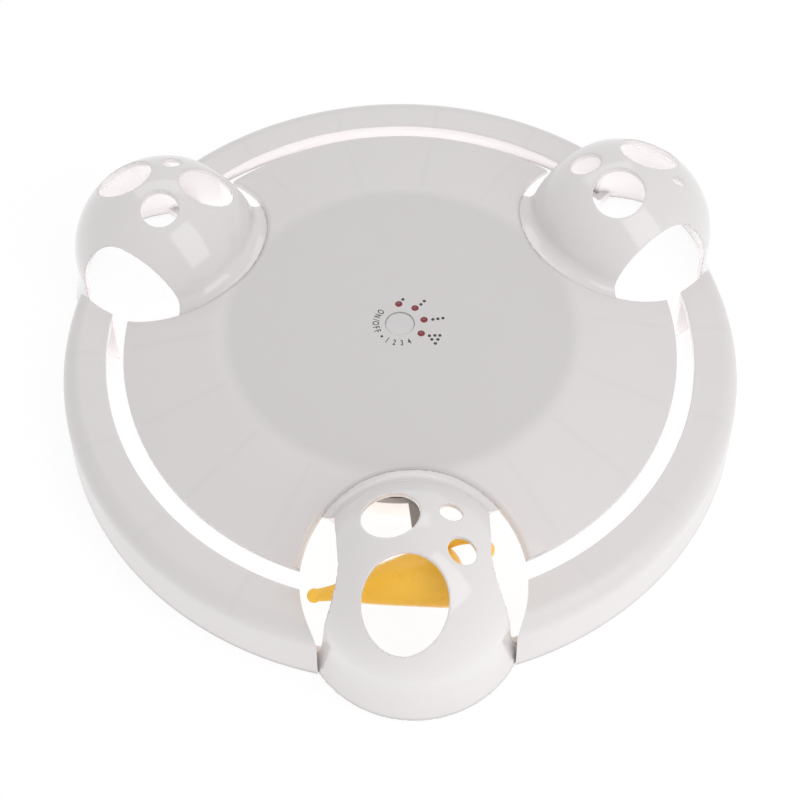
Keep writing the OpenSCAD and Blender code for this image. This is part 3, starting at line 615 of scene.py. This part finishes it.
def light_table(name, shape, size, area, strength, height):
    """Even light from the white table top, which brightens walls and the insides of the domes."""
    data = bpy.data.lights.new(name, "AREA")
    data.shape = shape
    data.size = size
    data.energy = strength * math.pi * area
    lamp = bpy.data.objects.new(name, data)
    bpy.context.scene.collection.objects.link(lamp)
    lamp.location.z = height
    lamp.rotation_euler.x = math.pi
    lamp.visible_camera = False
    lamp.visible_glossy = False
    lamp.visible_transmission = False


def build_lights():
    softbox("key_light", *KEY_LIGHT)
    softbox("back_light", *BACK_LIGHT)
    light_table("table_light", "SQUARE", TABLE_SIZE, TABLE_SIZE ** 2, TABLE_LIGHT, TABLE_Z)
    under_area = math.pi * (UNDER_SIZE / 2.0) ** 2
    light_table("under_light", "DISK", UNDER_SIZE, under_area, UNDER_LIGHT, UNDER_Z)


def smooth_min(first, second, width):
    """Lesser of two distances, blended over a width: a union with a fillet."""
    share = np.clip(0.5 + 0.5 * (second - first) / width, 0.0, 1.0)
    return second + (first - second) * share - width * share * (1.0 - share)


def smooth_max(first, second, width):
    """Greater of two distances, blended over a width: a cut with a rounded edge."""
    return -smooth_min(-first, -second, width)


def cover_height(radius):
    """Height of the cover's top at a radius from the middle."""
    run = BLEND_R * math.tan(COVER_SLOPE / 2.0)
    along = np.clip((radius - PLATEAU_R + run) / BLEND_R, 0.0, math.sin(COVER_SLOPE))
    blend = PLATEAU_Z - BLEND_R * (1.0 - np.sqrt(1.0 - along ** 2))
    cone = PLATEAU_Z - math.tan(COVER_SLOPE) * (radius - PLATEAU_R)
    return np.where(radius > PLATEAU_R + run * math.cos(COVER_SLOPE), cone, blend)


def side_angle(radius, circle):
    """Degrees from a dome's axis to where a circle round it meets a radius from the middle."""
    cosine = (radius ** 2 + DOME_RING_R ** 2 - circle ** 2) / (2.0 * radius * DOME_RING_R)
    return np.degrees(np.arccos(cosine))


def ball_field(across, height):
    """Distance to the dome's ball and its flared skirt."""
    low = np.clip(1.0 - height / DOME_Z, 0.0, None)
    skirt = DOME_R + (DOME_FOOT_R - DOME_R) * low ** 2
    lean = 2.0 * (DOME_FOOT_R - DOME_R) * low / DOME_Z
    ball = np.hypot(across, height - DOME_Z) - DOME_R
    return np.where(height > DOME_Z, ball, (across - skirt) / np.hypot(1.0, lean))


def tunnel_field(radius, height):
    """Distance to the door tunnel that follows the track."""
    side = radius - SLOT_R
    low = np.clip(1.0 - height / ARCH_SPRING, 0.0, 1.0)
    width = np.where(side < 0.0, ARCH_IN, ARCH_OUT + DOOR_FLARE * low)
    rise = ARCH_TOP - ARCH_SPRING
    a = side / width
    b = np.clip(height - ARCH_SPRING, 0.0, None) / rise
    reach = np.maximum(np.hypot(a, b), 0.05)
    slope = np.hypot(a / (width * reach), b / (rise * reach))
    return (reach - 1.0) / np.maximum(slope, 0.001)


def hole_field(x, y, z, hole):
    """Distance to the cut of a peep hole, which opens upwards from the ball's middle."""
    out, side, radius, lean = hole
    up = math.sqrt(DOME_R ** 2 - out ** 2 - side ** 2)
    turn = math.radians(lean)
    across = (x - DOME_RING_R - out) * math.cos(turn) - (z - DOME_Z - up) * math.sin(turn)
    return np.maximum(np.hypot(across, y - side) - radius, DOME_Z + HOLE_START - z)


def slab_field(level, low, high):
    return np.abs(level - (low + high) / 2.0) - (high - low) / 2.0


def hook_field(x, y, level):
    """Distance to the two snap hooks under the cover."""
    top = -COVER_T - HOOK_GAP
    layer = slab_field(level, top - HOOK_T, top)
    fields = []
    for azimuth in (180.0 - HOOK_AZ, 180.0 + HOOK_AZ):
        turn = math.radians(azimuth)
        along = (x - DOME_RING_R) * math.cos(turn) + y * math.sin(turn)
        beside = y * math.cos(turn) - (x - DOME_RING_R) * math.sin(turn)
        reach = slab_field(along, DOME_R - DOME_WALL, HOOK_REACH)
        fields.append(np.maximum(np.maximum(reach, np.abs(beside) - HOOK_W / 2.0), layer))
    return np.minimum(fields[0], fields[1])


def tongue_field(x, y, radius, height):
    """Distance to the two tongues that reach into the rim, with their roots."""
    start = side_angle(RIM_R, DOME_FOOT_R - ROOT_INSET) - ROOT_A
    end = side_angle(TONGUE_R, DOME_FOOT_R + DOME_GAP + RIM_WALL) + TONGUE_END_A
    turn = np.abs(np.degrees(np.arctan2(y, x)))
    level = slab_field(height, TONGUE_Z, TONGUE_Z + TONGUE_H)
    fields = []
    for last, outer in ((end, TONGUE_R + TONGUE_T), (start + ROOT_A, RIM_R)):
        sweep = np.radians(slab_field(turn, start, last)) * radius
        fields.append(np.maximum(np.maximum(slab_field(radius, TONGUE_R, outer), sweep), level))
    return np.minimum(fields[0], fields[1])


def dome_field(point, holes):
    """Distance to a whole dome whose axis lies on +X, with its doors, holes, hooks and tongues."""
    x, y, z = point
    across = np.hypot(x - DOME_RING_R, y)
    radius = np.hypot(x, y)
    level = (z - cover_height(radius)) * math.cos(COVER_SLOPE)
    ball = ball_field(across, z)
    ring = np.maximum(across - CUT_R - FLANGE_LAP, radius - SLOT_IN)
    ring = np.maximum(ring, slab_field(level, -COVER_T, FLANGE_UP))
    field = smooth_min(ball, ring, FILLET)
    field = np.maximum(field, -(ball + DOME_WALL))
    field = np.maximum(field, -np.maximum(level + COVER_T + SKIRT_DROP, radius - SLOT_IN))
    field = smooth_max(field, -tunnel_field(radius, z), HOLE_EDGE)
    for hole in holes:
        field = smooth_max(field, -hole_field(x, y, z, hole), HOLE_EDGE)
    field = np.minimum(field, np.minimum(hook_field(x, y, level), tongue_field(x, y, radius, z)))
    return np.maximum(field, -z)


def net_points(values, low, step):
    """One point in every grid cell that the surface passes, and the number of each such cell."""
    shape = tuple(count - 1 for count in values.shape)
    total = np.zeros(shape + (3,))
    crossings = np.zeros(shape)
    for axis in range(3):
        for first in range(2):
            for second in range(2):
                start = [first, second]
                start.insert(axis, 0)
                end = list(start)
                end[axis] = 1
                a = values[tuple(slice(o, o + n) for o, n in zip(start, shape))]
                b = values[tuple(slice(o, o + n) for o, n in zip(end, shape))]
                cross = (a < 0.0) != (b < 0.0)
                share = np.where(cross, a / np.where(cross, a - b, 1.0), 0.0)
                for m in range(3):
                    total[..., m] += np.where(cross, share if m == axis else start[m], 0.0)
                crossings += cross
    used = crossings > 0
    numbers = np.full(shape, -1)
    numbers[used] = np.arange(used.sum())
    places = np.argwhere(used) + total[used] / crossings[used][:, None]
    return np.array(low) + step * places, numbers


def net_faces(values, numbers):
    """Four-sided faces round every grid edge that the surface crosses."""
    inside = values < 0.0
    faces = []
    for axis in range(3):
        others = [m for m in range(3) if m != axis]
        here = np.moveaxis(inside, axis, 0)
        edges = np.argwhere(here[:-1] != here[1:])
        leaving = here[:-1][tuple(edges.T)]
        cells = np.empty_like(edges)
        cells[:, axis] = edges[:, 0]
        cells[:, others[0]] = edges[:, 1]
        cells[:, others[1]] = edges[:, 2]
        ring = []
        for first, second in ((0, 0), (1, 0), (1, 1), (0, 1)):
            corner = cells.copy()
            corner[:, others[0]] -= first
            corner[:, others[1]] -= second
            ring.append(numbers[tuple(corner.T)])
        quads = np.stack(ring, axis=1)
        turned = leaving if axis == 1 else ~leaving
        quads[turned] = quads[turned][:, ::-1]
        faces.append(quads)
    return np.concatenate(faces)


def settle(points, field):
    """Draws points onto the surface of a distance field."""
    places = points.T.copy()
    rounds = 3
    reach = 0.02
    least_slope = 0.25
    limit = 0.3
    steps = [reach * axis[:, None] for axis in np.eye(3)]
    for _ in range(rounds):
        rises = [field(places + step) - field(places - step) for step in steps]
        slope = np.stack(rises) / (2.0 * reach)
        size = np.maximum((slope * slope).sum(axis=0), least_slope)
        places -= np.clip(field(places) / size, -limit, limit) * slope
    return places.T


def mesh_of_field(name, field, low, high, step):
    """Smooth mesh of a distance field, in the field's own millimetres."""
    axes = [np.arange(a, b + step, step) for a, b in zip(low, high)]
    values = field(np.meshgrid(*axes, indexing="ij"))
    points, numbers = net_points(values, low, step)
    mesh = bpy.data.meshes.new(name)
    mesh.from_pydata(settle(points, field).tolist(), [], net_faces(values, numbers).tolist())
    return mesh


# Peep holes: distance outwards, distance to the left seen from the middle, radius, lean outwards
DOMES = {
    "front": (-90.0, [(19.4, -3.9, 13.85, 5.0), (-9.1, -7.3, 9.6, 0.0), (-9.5, 12.3, 3.75, 0.0),
                      (4.6, 14.95, 4.65, 0.0)]),
    "right": (30.0, [(-8.0, -5.8, 9.55, 0.0), (-8.7, 13.3, 5.55, 0.0), (15.2, 5.6, 11.2, 0.0),
                     (16.0, -11.1, 2.25, 0.0)]),
    "left": (150.0, [(-5.3, 7.4, 6.95, 0.0), (16.3, -1.7, 10.4, 0.0), (-12.5, -12.4, 9.5, 0.0),
                     (4.0, -15.4, 3.5, 0.0)]),
}


def build_domes():
    """Domes with rounded edges and a fillet down to the cover, in place of the plain ones."""
    margin = 2.0
    tongue_room = 10.0
    beside = DOME_FOOT_R + margin + tongue_room
    low = (DOME_RING_R - DOME_FOOT_R - margin, -beside, -margin)
    high = (DOME_RING_R + DOME_FOOT_R + margin, beside, DOME_Z + DOME_R + margin)
    for place_name, (azimuth, holes) in DOMES.items():
        name = "smooth_dome_" + place_name
        mesh = mesh_of_field(name, lambda point: dome_field(point, holes), low, high, DOME_GRID)
        mesh.transform(Matrix.Scale(MM, 4) @ Matrix.Rotation(math.radians(azimuth), 4, "Z"))
        obj = piece(name, mesh, "dome", "base")
        obj.data.set_sharp_from_angle(angle=math.radians(DOME_SHARP))
        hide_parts("dome_" + place_name)


def roll_cutter(azimuth):
    """Bar round a dome's cut-out that leaves a rounded edge where it is taken off the cover."""
    steps = 120
    spread = 85.0
    over = 0.4
    skim = 0.005
    inside = CUT_R - 0.2
    middle = CUT_R + CUT_ROLL
    section = [(middle, over), (middle, skim)] + arc((middle, -CUT_ROLL), CUT_ROLL, 100.0, 180.0, 8)
    section += [(inside, -CUT_ROLL), (inside, over)]
    bm = bmesh.new()
    rings = []
    for i in range(steps + 1):
        angle = math.radians(180.0 - spread + 2.0 * spread * i / steps)
        ring = []
        for reach, level in section:
            x = DOME_RING_R + reach * math.cos(angle)
            y = reach * math.sin(angle)
            ring.append(bm.verts.new((x, y, float(cover_height(math.hypot(x, y))) + level)))
        rings.append(ring)
    count = len(section)
    for first, second in zip(rings, rings[1:]):
        for k in range(count):
            m = (k + 1) % count
            bm.faces.new((first[k], first[m], second[m], second[k]))
    bm.faces.new(rings[0])
    bm.faces.new(rings[-1])
    place(bm, Matrix.Rotation(math.radians(azimuth), 4, "Z"))
    cutter = bpy.data.objects.new("cutter", mesh_of("cutter", bm))
    bpy.context.scene.collection.objects.link(cutter)
    return cutter


def node_copy(name):
    """Copy of a node's mesh, with points that lie together made one."""
    bm = bmesh.new()
    bm.from_mesh(frame["nodes"][name].data)
    bmesh.ops.remove_doubles(bm, verts=bm.verts, dist=WELD)
    return bm


def build_cover():
    """The cover with a rounded edge round each dome, in place of the plain one."""
    holder = bpy.data.objects.new("holder", mesh_of("holder", node_copy("top_cover")))
    bpy.context.scene.collection.objects.link(holder)
    cutters = [roll_cutter(azimuth) for azimuth, _ in DOMES.values()]
    for cutter in cutters:
        cut = holder.modifiers.new("cut", "BOOLEAN")
        cut.operation = "DIFFERENCE"
        cut.solver = "EXACT"
        cut.object = cutter
    bpy.context.view_layer.update()
    mesh = bpy.data.meshes.new_from_object(holder.evaluated_get(bpy.context.evaluated_depsgraph_get()))
    for obj in cutters + [holder]:
        bpy.data.objects.remove(obj)
    mesh.materials.clear()
    obj = piece("rolled_cover", mesh, "cover", "base")
    mesh.set_sharp_from_angle(angle=math.radians(NODE_SHARP))
    level = 0.99999
    for polygon in mesh.polygons:
        polygon.use_smooth = abs(polygon.normal.z) < level
    weighting = obj.modifiers.new("weighting", "WEIGHTED_NORMAL")
    weighting.keep_sharp = True
    weighting.weight = 90
    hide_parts("top_cover")


def rim_sections():
    """Outer and inner line of the rim's section, with the same number of points."""
    lean = math.atan(RIM_DRAFT / RIM_H)
    lines = []
    for inset in (0.0, RIM_WALL):
        top = RIM_H - inset
        rounding = RIM_ROUND - inset
        foot = RIM_R - inset / math.cos(lean)
        level = top - rounding
        middle = foot - level * math.tan(lean) - rounding / math.cos(lean)
        edge = RIM_EDGE if inset == 0.0 else RIM_INNER_EDGE
        wall_steps = 6
        line = [(foot + (middle + rounding * math.cos(lean) - foot) * i / wall_steps,
                 (level + rounding * math.sin(lean)) * i / wall_steps) for i in range(wall_steps)]
        line += arc((middle, level), rounding, math.degrees(lean), 90.0, 16)
        slot_side = SLOT_OUT + inset
        top_steps = 5
        run = slot_side + edge - middle
        line += [(middle + run * i / top_steps, top) for i in range(1, top_steps)]
        line += arc((slot_side + edge, top - edge), edge, 90.0, 180.0, 5)
        line.append((slot_side, RIM_H - RIM_LIP))
        lines.append(line)
    return lines


def rim_end(radius, height, back):
    """Degrees from a dome's axis to the rim's end at a radius and height, moved back from the dome."""
    lean = RIM_END_LEAN * (height + RIM_END_OVER) / (RIM_H + 2.0 * RIM_END_OVER)
    return float(side_angle(radius, DOME_FOOT_R + DOME_GAP - lean + back))


def rim_point(bm, azimuth, radius, height):
    angle = math.radians(azimuth)
    return bm.verts.new((radius * math.cos(angle), radius * math.sin(angle), height))


def rim_shell(bm, azimuth, outer, inner):
    """Shell of a rim segment, open below."""
    steps = 90
    loop = outer + inner[::-1]
    columns = []
    for i in range(steps + 1):
        column = []
        for radius, height in loop:
            end = rim_end(radius, height, 0.0)
            turn = azimuth + end + (DOME_STEP - 2.0 * end) * i / steps
            column.append(rim_point(bm, turn, radius, height))
        columns.append(column)
    count = len(loop)
    for left, right in zip(columns, columns[1:]):
        for k in range(count):
            m = (k + 1) % count
            bm.faces.new((left[k], right[k], right[m], left[m]))
    for column in (columns[0], columns[-1]):
        for k in range(len(outer) - 1):
            bm.faces.new((column[k], column[k + 1], column[count - 2 - k], column[count - 1 - k]))


def rim_end_wall(bm, azimuth, turn, outer):
    """Wall that closes a rim segment's end beside a dome."""
    inset = 0.1
    set_back = 0.02
    rows = 8
    tops = [(radius - inset, height - inset) for radius, height in outer if height > RIM_H - RIM_ROUND]
    grids = []
    for back in (set_back, RIM_WALL):
        grid = []
        for radius, top in tops:
            column = []
            for j in range(rows + 1):
                height = top * j / rows
                angle = azimuth + turn * rim_end(radius, height, back)
                column.append(rim_point(bm, angle, radius, height))
            grid.append(column)
        grids.append(grid)
    front, rear = grids
    last = len(tops) - 1
    for i in range(last):
        for j in range(rows):
            for grid in grids:
                bm.faces.new((grid[i][j], grid[i + 1][j], grid[i + 1][j + 1], grid[i][j + 1]))
        for j in (0, rows):
            bm.faces.new((front[i][j], front[i + 1][j], rear[i + 1][j], rear[i][j]))
    for i in (0, last):
        for j in range(rows):
            bm.faces.new((front[i][j], front[i][j + 1], rear[i][j + 1], rear[i][j]))


def rim_rib(bm, azimuth):
    """Small rib under the rim's top."""
    turn = Matrix.Rotation(math.radians(azimuth), 4, "Z")
    bite = 0.2
    low = RIM_H - RIM_LIP
    high = RIM_H - RIM_WALL + bite
    size = (RIB_LENGTH, RIB_T, high - low)
    middle = (SLOT_OUT + RIB_INSET + RIB_LENGTH / 2.0, 0.0, (low + high) / 2.0)
    bmesh.ops.create_cube(bm, matrix=turn @ Matrix.Translation(middle) @ Matrix.Diagonal(size + (1.0,)))


# Rim segments, with the direction of the dome at the start of each
RIMS = {"rear": 30.0, "front_left": 150.0, "front_right": -90.0}


def build_rims():
    """Rim segments with a smooth rounded edge, in place of the plain ones."""
    outer, inner = rim_sections()
    for name, azimuth in RIMS.items():
        bm = bmesh.new()
        rim_shell(bm, azimuth, outer, inner)
        rim_end_wall(bm, azimuth, 1.0, outer)
        rim_end_wall(bm, azimuth + DOME_STEP, -1.0, outer)
        for i in range(RIB_COUNT):
            rim_rib(bm, azimuth + RIB_FIRST + RIB_STEP * i)
        place(bm, Matrix.Identity(4))
        mesh = mesh_of("smooth_rim_" + name, bm)
        obj = piece("smooth_rim_" + name, mesh, "rim", "base")
        mesh.set_sharp_from_angle(angle=math.radians(FORM_SHARP))
        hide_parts("rim_" + name)


def mouse_radius(u):
    """Radius of the mouse at distance u behind the end of its snout, as in the solids."""
    if u < MOUSE_FRONT:
        left = 1.0 - (u / MOUSE_FRONT) ** MOUSE_SWELL
        return SNOUT_R + (MOUSE_R - SNOUT_R) * (1.0 - left ** MOUSE_POWER)
    return MOUSE_R * math.sqrt(max(1.0 - ((u - MOUSE_FRONT) / MOUSE_RUMP) ** 2, 0.0))


def mouse_form():
    """Turned form of the mouse with its ball nose, its lower sides drawn in to a straight edge."""
    front = 70
    rear = 24
    joint = 0.0
    while math.hypot(mouse_radius(joint), joint - NOSE_SET) < NOSE_R:
        joint += 0.01
    spread = math.degrees(math.atan2(mouse_radius(joint), joint - NOSE_SET))
    profile = [(radius, height) for height, radius in arc((NOSE_SET, 0.0), NOSE_R, 180.0, spread, 14)]
    profile[0] = (0.0, profile[0][1])
    for i in range(1, front + 1):
        u = joint + (MOUSE_FRONT - joint) * i / front
        profile.append((mouse_radius(u), u))
    for i in range(1, rear + 1):
        u = MOUSE_FRONT + MOUSE_RUMP * math.sin(math.radians(90.0 * i / rear))
        profile.append((mouse_radius(u) if i < rear else 0.0, u))
    bm = lathe(profile, segments=80)
    bm.transform(Matrix.Translation((0.0, -MOUSE_NOSE, MOUSE_Z + SNOUT_H))
                 @ Matrix.Rotation(math.radians(MOUSE_TILT - 90.0), 4, "X"))
    for vert in bm.verts:
        x, y, z = vert.co
        edge = MOUSE_EDGE + MOUSE_SPREAD * (y + MOUSE_NOSE) + MOUSE_LEAN * (z - MOUSE_Z)
        half = float(smooth_min(abs(x), max(edge, NOSE_R + MOUSE_SOFT), MOUSE_SOFT))
        vert.co.x = math.copysign(half, x)
    return bm


def cut_off(bm, point, normal):
    """Takes off what lies on the side of a plane that its normal points to, and closes the cut."""
    cut = bmesh.ops.bisect_plane(bm, geom=bm.verts[:] + bm.edges[:] + bm.faces[:],
                                 plane_co=point, plane_no=normal, clear_outer=True)
    edges = [item for item in cut["geom_cut"] if isinstance(item, bmesh.types.BMEdge)]
    bmesh.ops.holes_fill(bm, edges=edges)


# The mouse's own frame on the track: nose towards -Y, outwards towards +X
ON_TRACK = Matrix.Rotation(math.radians(MOUSE_AZ), 4, "Z") @ Matrix.Translation((SLOT_R, 0.0, 0.0))


def build_turntable():
    """The turntable with its post's foot chamfered in line with the mouse's side."""
    bm = node_copy("turntable")
    bm.transform(ON_TRACK.inverted() @ Matrix.Scale(1.0 / MM, 4))
    cut_off(bm, (MOUSE_EDGE - POST_INSET, -MOUSE_NOSE, MOUSE_Z), (1.0, -MOUSE_SPREAD, -MOUSE_LEAN))
    place(bm, ON_TRACK)
    mesh = mesh_of("trimmed_turntable", bm)
    mesh.materials.clear()
    obj = piece("trimmed_turntable", mesh, "rotor", "rotor")
    mesh.set_sharp_from_angle(angle=math.radians(NODE_SHARP))
    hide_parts("turntable")


def build_mouse():
    """Smooth mouse and its base plate, in place of the plain ones."""
    seam = MOUSE_Z + MOUSE_BASE_T
    for name, node, cuts in (("mouse_smooth", "mouse_body", [(seam, -1.0)]),
                             ("mouse_plate", "mouse_base", [(seam, 1.0), (MOUSE_Z, -1.0)])):
        bm = mouse_form()
        for height, side in cuts:
            cut_off(bm, (0.0, 0.0, height), (0.0, 0.0, side))
        place(bm, ON_TRACK)
        obj = piece(name, mesh_of(name, bm), "yellow", "rotor")
        obj.data.set_sharp_from_angle(angle=math.radians(FORM_SHARP))
        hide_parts(node)


def build_button():
    """Button cap with a rounded edge and a shallow dish."""
    ledge = BUTTON_R + BUTTON_LEDGE
    ledge_z = BUTTON_FOOT_Z + BUTTON_LEDGE_T
    top = PLATEAU_Z + BUTTON_UP
    profile = [(0.0, BUTTON_FOOT_Z), (ledge, BUTTON_FOOT_Z), (ledge, ledge_z), (BUTTON_R, ledge_z)]
    profile += arc((BUTTON_R - BUTTON_ROUND, top - BUTTON_ROUND), BUTTON_ROUND, 0.0, 90.0, 6)
    profile += [(radius, top - depth) for radius, depth in BUTTON_DISH]
    bm = lathe(profile, segments=96)
    place(bm, Matrix.Identity(4))
    obj = piece("button_cap", mesh_of("button_cap", bm), "button", "push_button")
    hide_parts("button")


def build_leds():
    """Lights with a rounded lens."""
    lows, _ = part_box("led_1")
    low = lows[2] / MM
    ledge = LED_R + LED_LEDGE
    ledge_z = low + LED_LEDGE_T
    top = PLATEAU_Z + LED_UP
    shoulder = top - LED_RISE
    bow = [math.radians(angle) for angle in range(0, 90, 15)]
    for i in range(LED_COUNT):
        profile = [(0.0, low), (ledge, low), (ledge, ledge_z), (LED_R, ledge_z)]
        profile += [(LED_R * math.cos(turn), shoulder + LED_RISE * math.sin(turn)) for turn in bow]
        profile.append((0.0, top))
        bm = lathe(profile, segments=40)
        place(bm, polar(LED_RING_R, LED_AZ0 - i * LED_STEP, 0.0))
        name = "led_lens_%d" % (i + 1)
        obj = piece(name, mesh_of(name, bm), "lens", "base")
        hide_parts("led_%d" % (i + 1))


# Printed dots that stand for each speed: places from the middle of the cover
SPEED_DOTS = {
    1: [(1.61, 10.90)],
    2: [(8.06, 8.27), (9.38, 9.73)],
    3: [(12.03, 1.22), (13.86, 1.40), (15.69, 1.63)],
    4: [(10.34, -6.05), (12.33, -6.01), (14.12, -6.10), (11.14, -7.74), (13.30, -7.85), (12.29, -9.58)],
}
DOT_R = 0.62


def print_dot(bm, x, y, radius):
    """Flat printed dot on the cover."""
    profile = [(0.0, 0.0), (radius, 0.0), (radius * PRINT_BEVEL, PRINT_T), (0.0, PRINT_T)]
    disc = lathe(profile, segments=24)
    disc.transform(Matrix.Translation((x, y, PLATEAU_Z)))
    part = bpy.data.meshes.new("part")
    disc.to_mesh(part)
    disc.free()
    bm.from_mesh(part)
    bpy.data.meshes.remove(part)


def build_dots():
    for speed, dots in SPEED_DOTS.items():
        bm = bmesh.new()
        for x, y in dots:
            print_dot(bm, x, y, DOT_R)
        place(bm, Matrix.Identity(4))
        name = "speed_%d_dots" % speed
        piece(name, mesh_of(name, bm), "ink", "base")


# Print round the button
LABEL_R = 9.85
LABEL_SIZE = 3.4
LETTER_WIDTH = 0.66
LETTER_WEIGHT = 0.05
# Letters and numbers with the direction of the middle of each, in degrees
SWITCH_LETTERS = [("O", 140.0), ("N", 154.5), ("/", 166.5), ("O", 176.5), ("F", 189.5), ("F", 200.5)]
SPEED_NUMBERS = [("1", 236.0), ("2", 254.0), ("3", 272.0), ("4", 290.0)]
# Dot between them: distance from the middle, direction, radius
LABEL_DOT = (8.7, 219.0, 0.5)


def letter_mesh(letter):
    """Mesh of one letter, its left foot at the origin, and its width."""
    curve = bpy.data.curves.new("letter", "FONT")
    curve.body = letter
    curve.size = LABEL_SIZE
    curve.extrude = PRINT_T / 2.0
    curve.offset = LETTER_WEIGHT
    holder = bpy.data.objects.new("letter", curve)
    bpy.context.scene.collection.objects.link(holder)
    bpy.context.view_layer.update()
    mesh = bpy.data.meshes.new_from_object(holder.evaluated_get(bpy.context.evaluated_depsgraph_get()))
    bpy.data.objects.remove(holder)
    bpy.data.curves.remove(curve)
    mesh.transform(Matrix.Diagonal((LETTER_WIDTH, 1.0, 1.0, 1.0)))
    low = min(v.co.x for v in mesh.vertices)
    high = max(v.co.x for v in mesh.vertices)
    mesh.transform(Matrix.Translation((-low, 0.0, 0.0)))
    return mesh, high - low


def build_label():
    """Plain switch marking and numbers round the button, standing on the outer side."""
    bm = bmesh.new()
    for letter, azimuth in SWITCH_LETTERS + SPEED_NUMBERS:
        mesh, width = letter_mesh(letter)
        turn = Matrix.Rotation(math.radians(azimuth + 90.0), 4, "Z")
        mesh.transform(polar(LABEL_R, azimuth, PLATEAU_Z + PRINT_T / 2.0) @ turn
                       @ Matrix.Translation((-width / 2.0, 0.0, 0.0)))
        bm.from_mesh(mesh)
        bpy.data.meshes.remove(mesh)
    radius, azimuth, size = LABEL_DOT
    middle = polar(radius, azimuth, 0.0).to_translation()
    print_dot(bm, middle.x, middle.y, size)
    place(bm, Matrix.Identity(4))
    piece("switch_label", mesh_of("switch_label", bm), "ink", "base")


bpy.context.scene.view_settings.view_transform = "Standard"
dress_nodes()
build_camera()
build_world()
build_floor()
build_lights()
build_domes()
build_cover()
build_rims()
build_turntable()
build_mouse()
build_button()
build_leds()
build_dots()
build_label()
